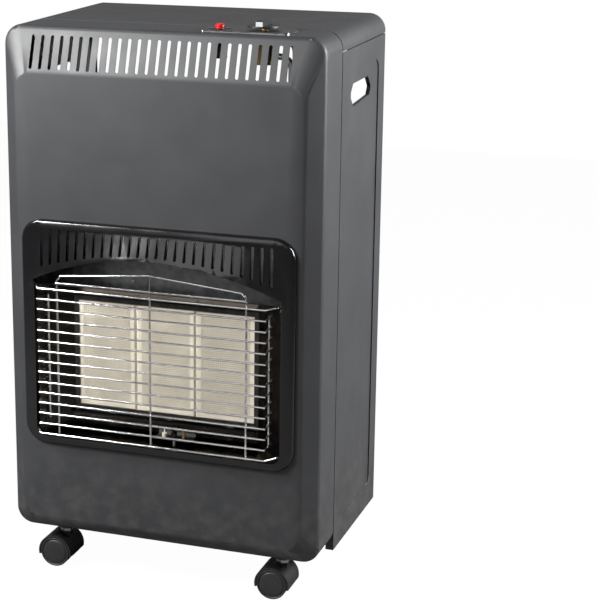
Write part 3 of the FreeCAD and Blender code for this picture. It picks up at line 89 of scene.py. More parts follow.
# Edges sharper than this are eased, on most pieces and on the wheels.
EASE_ANGLE, WHEEL_EASE_ANGLE = math.radians(30.0), math.radians(60.0)
# A plane or cylinder turned by this stands up or lies along Y.
QUARTER_TURN = (math.radians(90.0), 0.0, 0.0)
# How straight a face looks a way, as a share of its normal, to count as facing it.
FACING, NEARLY_FACING, LEVEL = 0.9, 0.8, 0.95
# Edges of the shell sharper than this are where its inside comes through a bend.
KNIFE_ANGLE = math.radians(140.0)
# The top fold lies above, in front of and between these.
FOLD_FLOOR, FOLD_BACK, FOLD_HALF = 0.70, -0.13, 0.196
# The corners lie outside this, and the lower ones end in two lengths at these heights.
CORNER_HALF, FOOT_TOP, FOOT_SIDE_TOP = 0.188, 0.070, 0.10
# Share of a plaque's border that slopes back, and the wall of a hole, as a share of the pitch.
PLAQUE_SLOPE, HOLE_WALL = 0.3, 0.05
# Height of the knob's bar above its skirt.
KNOB_BAR = 0.007
# Eased edges of the knob and button, and of the castor hoods, as shares of the moulded edge.
KNOB_EASE, HOOD_EASE = 0.4, 0.5
# A castor wheel's width and facets, the axle's radius, and the bore's depth as a share of the width.
WHEEL_WIDTH, WHEEL_FACETS, AXLE_RADIUS, BORE_SHARE = 0.017, 64, 0.0026, 0.7
# Steps from the rim inwards on a wheel's cap and on its inner face, as (inset, depth), then what is left
# for the hub, and the eased edge: all as shares of the wheel's radius.
CAP_STEPS = ((0.10, 0.0), (0.02, -0.06), (0.06, 0.0), (0.02, 0.05), (0.30, 0.02))
INNER_STEPS = ((0.12, 0.0), (0.04, -0.2), (0.40, 0.0), (0.04, 0.15))
HUB_SHARE, WHEEL_EASE = 0.40, 0.035
# The nut on a castor's stem: radius, height, its middle over the hood, the ring on its flat faces, how
# much thicker the nut is inside that ring, and its eased edge.
NUT_RADIUS, NUT_HEIGHT, NUT_RISE, NUT_RING, NUT_SWELL, NUT_EDGE = 0.0085, 0.004, 0.0023, 0.0012, 1.25, 0.0003
# The dish round the igniter button: middle of its band, half the band's width, its height, and the inset
# and depth of the groove in it.
DISH_RADIUS, DISH_BAND, DISH_RISE = 0.0104, 0.0034, 0.0009
GROOVE_INSET, GROOVE_DEPTH = 0.0004, 0.0003
# Its facets round the button and across the band, and how far up a face looks to lie on top of the band.
DISH_FACETS, BAND_FACETS, DISH_TOP = 48, 12, 0.2
CASTORS = ("front_left", "front_right", "rear_left", "rear_right")
# Wear and stains: dust low on the coat, bloom on zinc, and scorched ceramic.
DUST_COLOUR, BLOOM_COLOUR, SCORCH_COLOUR = (0.16, 0.15, 0.14), (0.36, 0.35, 0.31), (0.45, 0.34, 0.26)
# Heights at which the dust ends and at which it is full.
DUST_END, DUST_FULL = 0.22, 0.05
WHITE, STAGE_GREY = (1.0, 1.0, 1.0), (0.16, 0.16, 0.16)
# Own glow of the floor and of the backdrop, and the backdrop's distance behind the origin.
FLOOR_GLOW, BACKDROP_GLOW, BACKDROP_REACH = 0.98, 1.0, 3.0
# Where the sheen begins and is full, from before the heater to behind it.
SHEEN_START, SHEEN_FULL = 0.1, 0.9
# Each lamp's name, place, target, side and the setting of its power.
LAMPS = (("front_softbox", (-0.80, -0.95, 1.12), (0.02, -0.1, 0.45), 0.40, "front_power"),
         ("side_softbox", (1.30, 0.30, 1.00), (0.1, 0.05, 0.5), 0.7, "side_power"),
         ("fill_softbox", (-0.2, -2.4, 1.2), (0.0, 0.0, 0.3), 1.2, "fill_power"))
# The camera's sensor in millimetres, and the nearest and furthest that it sees.
SENSOR_WIDTH, CLIP_START, CLIP_END = 36.0, 0.05, 60.0


# ------------------------------------------------------------------ settings

def colour(name, description, rgb):
    """A colour that a user can change."""
    return bpy.props.FloatVectorProperty(name=name, description=description, default=rgb, size=3,
                                         subtype="COLOR", min=0.0, max=1.0)


def share(name, description, default):
    """A plain number from 0 to 1 that a user can change."""
    return bpy.props.FloatProperty(name=name, description=description, default=default, min=0.0, max=1.0,
                                   subtype="FACTOR")


def length(name, description, default):
    """A distance in metres that a user can change."""
    return bpy.props.FloatProperty(name=name, description=description, default=default, min=0.0,
                                   precision=5, unit="LENGTH")


def angle(name, description, degrees):
    """An angle that a user can change."""
    return bpy.props.FloatProperty(name=name, description=description, default=math.radians(degrees),
                                   subtype="ANGLE")


class HeaterFinishes(bpy.types.PropertyGroup):
    """Colours and roughness of the heater's finishes."""

    coat: colour("Powder coat", "Charcoal coat of the cabinet", (0.0315, 0.0323, 0.0345))
    coat_roughness: share("Coat roughness", "How matt the powder coat is", 0.50)
    enamel: colour("Enamel", "Glossy black of the burner surround", (0.006, 0.006, 0.0065))
    enamel_roughness: share("Enamel roughness", "How matt the enamel is", 0.16)
    ceramic: colour("Ceramic", "Unglazed burner plaques", (0.70, 0.64, 0.53))
    # The reflector colour is a brown heat tint darkened nearly to black as painted shade inside the burner.
    mirror: colour("Reflector", "Heat-tinted reflector sheet", (0.050, 0.043, 0.037))
    # The dark sheet colour is also the painted shade on the floors of the plaque holes.
    soot_and_hole_shade: colour("Dark sheet", "Heat-darkened sheet round the burner", (0.018, 0.017, 0.016))
    chrome: colour("Chrome", "Plated wire of the guard and edges of the control plate", (0.80, 0.80, 0.81))
    plate_face: colour("Plate face", "Satin face of the control plate", (0.10, 0.098, 0.095))
    zinc: colour("Zinc", "Plated brackets, pins and stems", (0.50, 0.51, 0.53))
    brass: colour("Brass", "Gas fittings", (0.60, 0.42, 0.18))
    aluminium: colour("Aluminium", "Gas tubes", (0.66, 0.67, 0.69))
    knob: colour("Knob", "Moulded control knob", (0.012, 0.012, 0.013))
    # Painted light: this pale colour stands for light on the front face of the knob's bar.
    bar_front_light: colour("Pointer", "Pale front face of the knob's bar", (0.46, 0.47, 0.48))
    button: colour("Button", "Red igniter button", (0.46, 0.012, 0.014))
    black_plastic: colour("Black plastic", "Castor hoods and igniter body", (0.013, 0.013, 0.014))
    tyre: colour("Tyre", "Castor wheels", (0.020, 0.020, 0.021))


class HeaterDetail(bpy.types.PropertyGroup):
    """Sizes of the fine detail."""

    moulded_edge: length("Moulded edge", "Widest eased edge of moulded pieces", 0.0009)
    smooth_angle: angle("Smooth angle", "Edges flatter than this are shaded smooth", 32.0)
    hole_pitch: length("Perforation pitch", "From one burner hole to the next", 0.0026)
    hole_depth: length("Perforation depth", "How deep a burner hole goes", 0.0026)
    hole_share: share("Perforation size", "Solid share of the pitch on each side of a hole", 0.18)
    plaque_border: length("Plaque border", "Solid strip round the holes of a plaque", 0.0072)


class HeaterStage(bpy.types.PropertyGroup):
    """The camera, the lamps and the floor."""

    azimuth: angle("Azimuth", "How far the camera looks in from the right", 20.84)
    elevation: angle("Elevation", "How far the camera looks down", 15.2)
    roll: angle("Roll", "Turn of the camera about its line of sight", -0.17)
    focal: bpy.props.FloatProperty(name="Focal length", description="Lens in millimetres",
                                   default=110.48, min=1.0)
    stand: bpy.props.FloatVectorProperty(name="Camera place", description="Where the camera stands",
                                         default=(0.8147, -2.2151, 1.0015), size=3, subtype="XYZ",
                                         unit="LENGTH")
    shift_x: bpy.props.FloatProperty(name="Shift X", description="Sideways shift of the frame", default=0.198)
    shift_y: bpy.props.FloatProperty(name="Shift Y", description="Upward shift of the frame", default=-0.0087)
    floor_reach: length("Floor reach", "Half the floor's width", 6.0)
    sky: share("Sky", "Brightness of the surrounding room", 0.08)
    sheen: share("Sheen", "How bright the floor and backdrop look in shiny surfaces", 0.26)
    front_power: bpy.props.FloatProperty(name="Front lamp", description="Power of the lamp before the heater",
                                         default=39.0, min=0.0, unit="POWER")
    side_power: bpy.props.FloatProperty(name="Side lamp", description="Power of the lamp at its right",
                                        default=48.0, min=0.0, unit="POWER")
    fill_power: bpy.props.FloatProperty(name="Fill lamp", description="Power of the lamp beside the camera",
                                        default=7.0, min=0.0, unit="POWER")


# ------------------------------------------------------------------ shader writing

class Signal:
    """A number socket that can stand in a Python sum."""

    def __init__(self, nodes, socket):
        self.nodes = nodes
        self.socket = socket

    def maths(self, operation, first, second):
        return self.nodes.add("ShaderNodeMath", {"operation": operation}, {0: first, 1: second})

    def __add__(self, other):
        return self.maths("ADD", self, other)

    __radd__ = __add__

    def __sub__(self, other):
        return self.maths("SUBTRACT", self, other)

    def __rsub__(self, other):
        return self.maths("SUBTRACT", other, self)

    def __mul__(self, other):
        return self.maths("MULTIPLY", self, other)

    __rmul__ = __mul__

    def clipped(self, low, high):
        """This, stretched so that low becomes 0 and high becomes 1, and held there."""
        return self.nodes.add("ShaderNodeMapRange", {"clamp": True},
                              {"Value": self, "From Min": low, "From Max": high})


# Places of a Mix node's sockets when it mixes colours: factor, both colours, and the result.
MIX_FACTOR, MIX_FIRST, MIX_SECOND, MIX_COLOUR = 0, 6, 7, 2


class Nodes:
    """A node tree, filled node by node."""

    def __init__(self, tree):
        self.tree = tree

    def add(self, kind, settings, sockets, output=0):
        """A node of a kind, with its settings made first and then its sockets filled or linked."""
        node = self.tree.nodes.new(kind)
        for name, value in settings.items():
            setattr(node, name, value)
        for name, value in sockets.items():
            self.feed(node.inputs[name], value)
        return Signal(self, node.outputs[output])

    def feed(self, socket, value):
        """Links a signal to a socket, or writes a plain value there."""
        if isinstance(value, Signal):
            self.tree.links.new(value.socket, socket)
        elif socket.type == "RGBA" and len(value) == 3:
            socket.default_value = (*value, 1.0)
        else:
            socket.default_value = value

    def rays(self):
        """1 for a ray from the camera, and 1 for one that a shiny or clear surface sent on."""
        seen = self.add("ShaderNodeLightPath", {}, {}, "Is Camera Ray")
        gloss = self.add("ShaderNodeLightPath", {}, {}, "Is Glossy Ray")
        clear = self.add("ShaderNodeLightPath", {}, {}, "Is Transmission Ray")
        return seen, gloss + clear


class Finish(Nodes):
    """One material."""

    def __init__(self, name):
        self.material = bpy.data.materials.new(name)
        self.material.use_nodes = True
        super().__init__(self.material.node_tree)
        self.shader = self.tree.nodes["Principled BSDF"]
        self.place = self.add("ShaderNodeTexCoord", {}, {}, "Object")

    def set(self, **inputs):
        """Fills the main shader's sockets: underscores stand for spaces."""
        for name, value in inputs.items():
            self.feed(self.shader.inputs[name.replace("_", " ")], value)

    def noise(self, scale, detail, stretch=(1.0, 1.0, 1.0)):
        """Cloudy noise over the object, in features per metre."""
        place = self.add("ShaderNodeMapping", {}, {"Vector": self.place, "Scale": stretch})
        return self.add("ShaderNodeTexNoise", {}, {"Vector": place, "Scale": scale, "Detail": detail}, "Fac")

    def grains(self, scale):
        """Distance to the nearest of many scattered points."""
        return self.add("ShaderNodeTexVoronoi", {}, {"Vector": self.place, "Scale": scale}, "Distance")

    def height(self):
        """The height above the floor, in metres."""
        return self.add("ShaderNodeSeparateXYZ", {}, {"Vector": self.place}, "Z")

    def blend(self, factor, first, second):
        """Two colours mixed by a factor."""
        return self.add("ShaderNodeMix", {"data_type": "RGBA"},
                        {MIX_FACTOR: factor, MIX_FIRST: first, MIX_SECOND: second}, MIX_COLOUR)

    def bump(self, height, depth, strength, under=None):
        """A bumpy normal from a height signal, over another if given."""
        sockets = {"Height": height, "Distance": depth, "Strength": strength}
        if under is not None:
            sockets["Normal"] = under
        return self.add("ShaderNodeBump", {}, sockets)


def tint(rgb, factor):
    """A colour made lighter or darker."""
    return tuple(min(channel * factor, 1.0) for channel in rgb)


def powder_coat():
    """Satin charcoal coat with a fine orange peel, faint mottling and dust low down."""
    look = bpy.context.scene.heater_finishes
    finish = Finish("powder_coat")
    base = tuple(look.coat)
    cloud = finish.noise(9.0, detail=4.0)
    grain = finish.noise(1400.0, detail=2.0)
    tone = finish.blend(cloud.clipped(0.3, 0.7), tint(base, 0.86), tint(base, 1.12))
    tone = finish.blend(grain.clipped(0.56, 0.75) * 0.35, tone, tint(base, 1.7))
    low_down = finish.height().clipped(DUST_END, DUST_FULL)
    dust = low_down * finish.noise(60.0, detail=5.0).clipped(0.42, 0.68) * 0.22
    tone = finish.blend(dust, tone, DUST_COLOUR)
    peel = finish.bump(finish.noise(620.0, detail=2.0), depth=0.00005, strength=0.55)
    fine = finish.bump(grain, depth=0.00003, strength=0.5, under=peel)
    rough = finish.noise(24.0, detail=3.0).clipped(0.3, 0.7) * 0.08 + (look.coat_roughness - 0.04)
    finish.set(Base_Color=tone, Roughness=rough, Normal=fine, Specular_IOR_Level=0.5)
    return finish.material


def gloss_enamel():
    """Deep black enamel with a clear shine and slight waviness."""
    look = bpy.context.scene.heater_finishes
    finish = Finish("gloss_enamel")
    wave = finish.bump(finish.noise(70.0, detail=2.0), depth=0.0004, strength=0.12)
    peel = finish.bump(finish.noise(900.0, detail=1.0), depth=0.00002, strength=0.4, under=wave)
    smear = finish.noise(18.0, detail=4.0).clipped(0.45, 0.75) * 0.10 + look.enamel_roughness
    tone = finish.blend(finish.noise(12.0, detail=3.0), tint(look.enamel, 0.8), tint(look.enamel, 1.3))
    finish.set(Base_Color=tone, Roughness=smear, Normal=peel, Coat_Weight=0.25, Coat_Roughness=0.08)
    return finish.material


def plated(name, rgb, roughness):
    """Bright plating: nearly a mirror, with faint clouds and drawing lines."""
    finish = Finish(name)
    cloud = finish.noise(35.0, detail=3.0)
    tone = finish.blend(cloud, tint(rgb, 0.9), tint(rgb, 1.06))
    rough = finish.noise(210.0, detail=3.0).clipped(0.35, 0.75) * 0.10 + roughness
    lines = finish.noise(500.0, detail=2.0, stretch=(1.0, 0.06, 0.06))
    finish.set(Base_Color=tone, Metallic=1.0, Roughness=rough,
               Normal=finish.bump(lines, depth=0.00003, strength=0.15))
    return finish.material


def zinc_plate():
    """Zinc plating with the faint patchwork of passivated sheet."""
    look = bpy.context.scene.heater_finishes
    finish = Finish("zinc_plate")
    spangle = finish.grains(120.0)
    tone = finish.blend(spangle.clipped(0.2, 0.8), tint(look.zinc, 0.82), tint(look.zinc, 1.12))
    bloom = finish.noise(16.0, detail=4.0).clipped(0.5, 0.8) * 0.3
    tone = finish.blend(bloom, tone, BLOOM_COLOUR)
    finish.set(Base_Color=tone, Metallic=1.0, Roughness=spangle * 0.12 + 0.30,
               Normal=finish.bump(spangle, depth=0.00004, strength=0.2))
    return finish.material


def heat_mirror():
    """Polished sheet that heat has turned brown, in uneven stains, with its base darkened nearly to black as
    painted shade inside the burner.
    """
    look = bpy.context.scene.heater_finishes
    finish = Finish("heat_mirror")
    stain = finish.noise(22.0, detail=5.0, stretch=(1.0, 1.0, 2.2))
    # Painted shade: the dark base stands for the shade inside the burner; the stains are real heat tint.
    tone = finish.blend(stain.clipped(0.3, 0.7), tint(look.mirror, 0.55), tint(look.mirror, 1.25))
    rough = finish.noise(90.0, detail=3.0).clipped(0.35, 0.7) * 0.14 + 0.14
    wave = finish.bump(finish.noise(30.0, detail=2.0), depth=0.0008, strength=0.25)
    finish.set(Base_Color=tone, Metallic=1.0, Roughness=rough, Normal=wave)
    return finish.material


def dark_sheet():
    """Sheet steel blackened by heat, also used as painted shade on the floors of the plaque holes."""
    look = bpy.context.scene.heater_finishes
    finish = Finish("dark_sheet")
    scale = finish.noise(140.0, detail=5.0)
    tone = finish.blend(scale.clipped(0.4, 0.75), look.soot_and_hole_shade, tint(look.soot_and_hole_shade, 2.6))
    finish.set(Base_Color=tone, Metallic=0.6, Roughness=scale * 0.25 + 0.42,
               Normal=finish.bump(scale, depth=0.00008, strength=0.3))
    return finish.material


def fired_ceramic():
    """Unglazed cream ceramic with a sandy grain and faint scorch marks."""
    look = bpy.context.scene.heater_finishes
    finish = Finish("fired_ceramic")
    sand = finish.noise(1900.0, detail=3.0)
    patch = finish.noise(38.0, detail=4.0)
    tone = finish.blend(patch.clipped(0.35, 0.7), tint(look.ceramic, 0.90), tint(look.ceramic, 1.08))
    tone = finish.blend(sand.clipped(0.55, 0.8) * 0.4, tone, tint(look.ceramic, 0.6))
    scorch = finish.noise(14.0, detail=3.0).clipped(0.55, 0.8) * 0.25
    tone = finish.blend(scorch, tone, SCORCH_COLOUR)
    finish.set(Base_Color=tone, Roughness=0.92, Normal=finish.bump(sand, depth=0.0001, strength=0.5))
    return finish.material


def moulded_plastic(name, rgb, roughness, grain_scale, grain_depth):
    """Moulded plastic with a spark-eroded grain and a few scuffs."""
    finish = Finish(name)
    grain = finish.grains(grain_scale)
    tone = finish.blend(finish.noise(50.0, detail=3.0), tint(rgb, 0.85), tint(rgb, 1.25))
    scuff = finish.noise(240.0, detail=4.0, stretch=(1.0, 1.0, 0.3)).clipped(0.62, 0.78) * 0.3
    tone = finish.blend(scuff, tone, tint(rgb, 2.6))
    rough = finish.noise(120.0, detail=2.0) * 0.12 + (roughness - 0.06)
    finish.set(Base_Color=tone, Roughness=rough, Normal=finish.bump(grain, grain_depth, strength=0.5))
    return finish.material


def turned_metal(name, rgb, roughness):
    """Machined or drawn metal with fine tool marks and a little tarnish."""
    finish = Finish(name)
    marks = finish.noise(900.0, detail=2.0, stretch=(0.2, 0.2, 1.0))
    tarnish = finish.noise(45.0, detail=4.0).clipped(0.5, 0.8) * 0.45
    tone = finish.blend(tarnish, rgb, tint(rgb, 0.55))
    finish.set(Base_Color=tone, Metallic=1.0, Roughness=marks * 0.12 + roughness,
               Normal=finish.bump(marks, depth=0.00003, strength=0.3))
    return finish.material


def all_finishes():
    """The material of each slot of the record, and of the extra faces."""
    look = bpy.context.scene.heater_finishes
    return {
        "charcoal_coat": powder_coat(),
        "black_gloss": gloss_enamel(),
        "dark_sheet": dark_sheet(),
        "plate_face": plated("dark_plate_face", look.plate_face, 0.30),
        "chrome_wire": plated("bright_chrome", look.chrome, 0.10),
        "bright_sheet": heat_mirror(),
        "zinc_steel": zinc_plate(),
        "ceramic": fired_ceramic(),
        "brass": turned_metal("gas_brass", look.brass, 0.24),
        "aluminium": turned_metal("drawn_aluminium", look.aluminium, 0.26),
        "knob_plastic": moulded_plastic("knob_plastic", look.knob, 0.38, 1500.0, 0.00004),
        "red_plastic": moulded_plastic("button_plastic", look.button, 0.22, 2500.0, 0.00001),
        "black_plastic": moulded_plastic("hood_plastic", look.black_plastic, 0.52, 620.0, 0.00022),
        "tyre_plastic": moulded_plastic("tyre_plastic", look.tyre, 0.46, 1300.0, 0.00005),
        "pointer_paint": moulded_plastic("pointer_paint", look.bar_front_light, 0.4, 2500.0, 0.00001),
    }


FINISHES = {}


def finish_of(slot):
    """The material of a slot, made on first use."""
    if not FINISHES:
        FINISHES.update(all_finishes())
    return FINISHES[slot]


# ------------------------------------------------------------------ modelling helpers

def clear():
    """Deselects everything, as before a primitive is added."""
    if bpy.context.mode != "OBJECT":
        bpy.ops.object.mode_set(mode="OBJECT")
    bpy.ops.object.select_all(action="DESELECT")


def take(piece):
    """Makes one piece the active and only selected one."""
    clear()
    piece.select_set(True)
    bpy.context.view_layer.objects.active = piece


def begin(name):
    """Names the primitive that was just added."""
    piece = bpy.context.view_layer.objects.active
    piece.name = name
    piece.data.name = name
    return piece


def settle(piece):
    """Moves a piece's place, turn and size into its mesh."""
    take(piece)
    bpy.ops.object.transform_apply(location=True, rotation=True, scale=True)


def pick(piece, test):
    """Selects the faces in edit mode that pass a test on their centre and normal."""
    bpy.ops.object.mode_set(mode="EDIT")
    bpy.ops.mesh.select_mode(type="FACE")
    bpy.ops.mesh.select_all(action="DESELECT")
    bpy.ops.object.mode_set(mode="OBJECT")
    for polygon in piece.data.polygons:
        polygon.select = test(polygon.center, polygon.normal)
    bpy.ops.object.mode_set(mode="EDIT")


def smooth(piece):
    """Shades a piece smooth where its edges are flat enough."""
    take(piece)
    bpy.ops.object.shade_smooth_by_angle(angle=bpy.context.scene.heater_detail.smooth_angle)


def ease(piece, width, segments=2, limit=EASE_ANGLE):
    """Eases a piece's sharp edges with an applied bevel."""
    take(piece)
    bevel = piece.modifiers.new("eased_edge", "BEVEL")
    bevel.width = width
    bevel.segments = segments
    bevel.limit_method = "ANGLE"
    bevel.angle_limit = limit
    bevel.harden_normals = False
    bpy.ops.object.modifier_apply(modifier=bevel.name)


def even_shading(piece):
    """Lets wide flat faces keep their own shading where they run into a bend."""
    take(piece)
    weighted = piece.modifiers.new("even_shading", "WEIGHTED_NORMAL")
    weighted.mode = "FACE_AREA"
    weighted.keep_sharp = True
    bpy.ops.object.modifier_apply(modifier=weighted.name)


def clean(piece):
    """Merges doubles and turns all faces outwards."""
    take(piece)
    bpy.ops.object.mode_set(mode="EDIT")
    bpy.ops.mesh.select_all(action="SELECT")
    bpy.ops.mesh.remove_doubles(threshold=MADE_DOUBLES)
    bpy.ops.mesh.normals_make_consistent(inside=False)
    bpy.ops.object.mode_set(mode="OBJECT")


def fit(piece, body, slot, nodes=()):
    """Finishes a new piece: its material, its body and the solids that it stands for."""
    piece.data.materials.clear()
    piece.data.materials.append(finish_of(slot))
    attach(piece, body)
    if nodes:
        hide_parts(*nodes)
    return piece


def merged(node):
    """A free copy of a solid with its doubled points merged."""
    source = frame["nodes"][node]
    piece = source.copy()
    piece.data = source.data.copy()
    piece.parent = None
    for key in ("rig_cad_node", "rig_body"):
        if key in piece:
            del piece[key]
    bpy.context.scene.collection.objects.link(piece)
    take(piece)
    bpy.ops.object.mode_set(mode="EDIT")
    bpy.ops.mesh.select_all(action="SELECT")
    bpy.ops.mesh.remove_doubles(threshold=SOLID_DOUBLES)
    bpy.ops.object.mode_set(mode="OBJECT")
    return piece


def dressed(node, edge=0.0, join=True):
    """A copy of a solid with its flat facets joined, its edges eased and its curves shaded smooth.

    A curved sheet with many cuts keeps its facets, because joining them would bend its shading.
    """
    piece = merged(node)
    piece.name = node + "_dressed"
    if join:
        bpy.ops.object.mode_set(mode="EDIT")
        bpy.ops.mesh.select_all(action="SELECT")
        bpy.ops.mesh.dissolve_limited(angle_limit=FLAT_ANGLE)
        bpy.ops.object.mode_set(mode="OBJECT")
    if edge > 0.0:
        ease(piece, edge)
    smooth(piece)
    even_shading(piece)
    return fit(piece, NODE_BODY[node], NODE_SLOT[node], (node,))


def dress_all(*nodes):
    """Dresses solids that need no more than that."""
    for node in nodes:
        dressed(node)


def second_finish(piece, slot, test):
    """Gives the faces of a piece that pass a test on their centre and normal a second finish."""
    piece.data.materials.append(finish_of(slot))
    for polygon in piece.data.polygons:
        if test(polygon.center, polygon.normal):
            polygon.material_index = 1


def centre_of(node):
    """The middle of a solid."""
    low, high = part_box(node)
    return (low + high) / 2


# ------------------------------------------------------------------ pieces

def bend_filler(name, test):
    """A filler behind one bend of the shell, wrapped round the knife edges that pass a test on place."""
    filler = merged("front_shell")
    filler.name = name
    bpy.ops.object.mode_set(mode="EDIT")
    bpy.ops.mesh.select_mode(type="EDGE")
    bpy.ops.mesh.select_all(action="DESELECT")
    bpy.ops.mesh.edges_select_sharp(sharpness=KNIFE_ANGLE)
    bpy.ops.mesh.select_all(action="INVERT")
    bpy.ops.mesh.delete(type="EDGE")
    bpy.ops.mesh.select_mode(type="VERT")
    bpy.ops.object.mode_set(mode="OBJECT")
    for vertex in filler.data.vertices:
        vertex.select = not test(vertex.co)
    bpy.ops.object.mode_set(mode="EDIT")
    bpy.ops.mesh.delete(type="VERT")
    bpy.ops.mesh.select_all(action="SELECT")
    bpy.ops.mesh.convex_hull()
    bpy.ops.object.mode_set(mode="OBJECT")
    return filler


def bend_fillers():
    """Closes the narrow gaps along the shell's top fold and its four corners from behind."""
    fillers = [bend_filler("shell_bend_fillers",
                           lambda v: v.z > FOLD_FLOOR and v.y < FOLD_BACK and abs(v.x) < FOLD_HALF)]
    for side in (-1.0, 1.0):
        fillers.append(bend_filler("top_corner", lambda v: v.z > FOLD_FLOOR and side * v.x > CORNER_HALF))
        fillers.append(bend_filler("foot", lambda v: v.z < FOOT_TOP and side * v.x > CORNER_HALF))
        fillers.append(bend_filler("foot_side",
                                   lambda v: FOOT_TOP < v.z < FOOT_SIDE_TOP and side * v.x > CORNER_HALF))
    take(fillers[0])
    for filler in fillers[1:]:
        filler.select_set(True)
    bpy.ops.object.join()
    clean(fillers[0])
    smooth(fillers[0])
    fit(fillers[0], NODE_BODY["front_shell"], "charcoal_coat")


def perforated(node):
    """A burner plaque whose front is a field of small holes inside a solid border that slopes back, with
    painted shade on the hole floors.
    """
    detail = bpy.context.scene.heater_detail
    low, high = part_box(node)
    size, middle = high - low, centre_of(node)
    border, pitch = detail.plaque_border, detail.hole_pitch
    slope = border * PLAQUE_SLOPE
    wide, tall = size.x - 2 * border, size.z - 2 * border
    flat_wide, flat_tall = size.x - 2 * slope, size.z - 2 * slope
    clear()
    bpy.ops.mesh.primitive_grid_add(x_subdivisions=round(wide / pitch), y_subdivisions=round(tall / pitch),
                                    size=1.0)
    field = begin(node + "_field")
    field.scale = (wide, tall, 1.0)
    field.rotation_euler = QUARTER_TURN
    field.location = (middle.x, low.y, middle.z)
    settle(field)
    bpy.ops.object.mode_set(mode="EDIT")
    bpy.ops.mesh.select_mode(type="EDGE")
    bpy.ops.mesh.select_all(action="SELECT")
    bpy.ops.mesh.region_to_loop()
    bpy.ops.mesh.extrude_edges_move()
    bpy.ops.transform.resize(value=(flat_wide / wide, 1.0, flat_tall / tall),
                             center_override=middle.to_tuple())
    bpy.ops.mesh.extrude_edges_move()
    bpy.ops.transform.resize(value=(size.x / flat_wide, 1.0, size.z / flat_tall),
                             center_override=middle.to_tuple())
    bpy.ops.transform.translate(value=(0.0, slope, 0.0))
    bpy.ops.mesh.extrude_edges_move()
    bpy.ops.transform.translate(value=(0.0, size.y - slope, 0.0))
    bpy.ops.mesh.fill()
    bpy.ops.object.mode_set(mode="OBJECT")
    clean(field)
    pick(field, lambda c, n: (n.y < -FACING and abs(c.x - middle.x) < wide / 2
                              and abs(c.z - middle.z) < tall / 2))
    bpy.ops.mesh.inset(thickness=pitch * detail.hole_share, use_individual=True)
    bpy.ops.mesh.inset(thickness=pitch * HOLE_WALL, depth=-detail.hole_depth, use_individual=True)
    bpy.ops.object.mode_set(mode="OBJECT")
    fit(field, NODE_BODY[node], "ceramic", (node,))
    bottom = low.y + detail.hole_depth / 2
    # Painted shade: the floors of the holes take the dark sheet finish.
    second_finish(field, "dark_sheet", lambda c, n: n.y < -FACING and c.y > bottom)


def wheel_master():
    """One castor wheel about the origin: a tyre, a grooved cap towards -Y and a blind bore from +Y."""
    low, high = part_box("castor_wheels_front_left")
    radius = (high.z - low.z) / 2
    clear()
    bpy.ops.mesh.primitive_cylinder_add(vertices=WHEEL_FACETS, radius=radius, depth=WHEEL_WIDTH,
                                        rotation=QUARTER_TURN)
    wheel = begin("castor_wheel")
    settle(wheel)
    pick(wheel, lambda c, n: n.y < -FACING)
    for thickness, depth in CAP_STEPS:
        bpy.ops.mesh.inset(thickness=radius * thickness, depth=radius * depth)
    bpy.ops.object.mode_set(mode="OBJECT")
    pick(wheel, lambda c, n: n.y > FACING)
    for thickness, depth in INNER_STEPS:
        bpy.ops.mesh.inset(thickness=radius * thickness, depth=radius * depth)
    bpy.ops.mesh.inset(thickness=radius * HUB_SHARE - AXLE_RADIUS)
    bpy.ops.mesh.extrude_region_move(TRANSFORM_OT_translate={"value": (0.0, -WHEEL_WIDTH * BORE_SHARE, 0.0)})
    bpy.ops.object.mode_set(mode="OBJECT")
    ease(wheel, radius * WHEEL_EASE, segments=3, limit=WHEEL_EASE_ANGLE)
    clean(wheel)
    smooth(wheel)
    return wheel


def castor_wheels(corner, master):
    """Both wheels of a castor, as copies of one wheel with the caps outward."""
    node = "castor_wheels_" + corner
    low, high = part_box(node)
    middle = centre_of(node)
    pair = []
    for turn, y in ((0.0, low.y + WHEEL_WIDTH / 2), (math.pi, high.y - WHEEL_WIDTH / 2)):
        wheel = master.copy()
        wheel.data = master.data.copy()
        wheel.name = "%s_%d" % (node, len(pair))
        bpy.context.scene.collection.objects.link(wheel)
        wheel.location = (middle.x, y, middle.z)
        wheel.rotation_euler = (0.0, 0.0, turn)
        settle(wheel)
        pair.append(wheel)
    take(pair[0])
    pair[1].select_set(True)
    bpy.ops.object.join()
    pair[0].name = node + "_turned"
    fit(pair[0], NODE_BODY[node], "tyre_plastic", (node,))


def stem_nut(corner):
    """Bright hexagon nut on a castor's stem, between the hood and the cabinet."""
    hood = "castor_hood_" + corner
    joint = next(entry for entry in frame["joints"] if entry["child"] == NODE_BODY[hood])
    middle = (joint["pos_m"][0], joint["pos_m"][1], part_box(hood)[1].z + NUT_RISE)
    clear()
    bpy.ops.mesh.primitive_cylinder_add(vertices=6, radius=NUT_RADIUS, depth=NUT_HEIGHT, location=middle)
    nut = begin("stem_nut_" + corner)
    settle(nut)
    pick(nut, lambda c, n: abs(n.z) > FACING)
    bpy.ops.mesh.inset(thickness=NUT_RING)
    bpy.ops.transform.resize(value=(1.0, 1.0, NUT_SWELL), center_override=middle)
    bpy.ops.object.mode_set(mode="OBJECT")
    ease(nut, NUT_EDGE)
    smooth(nut)
    fit(nut, joint["parent"], "zinc_steel")


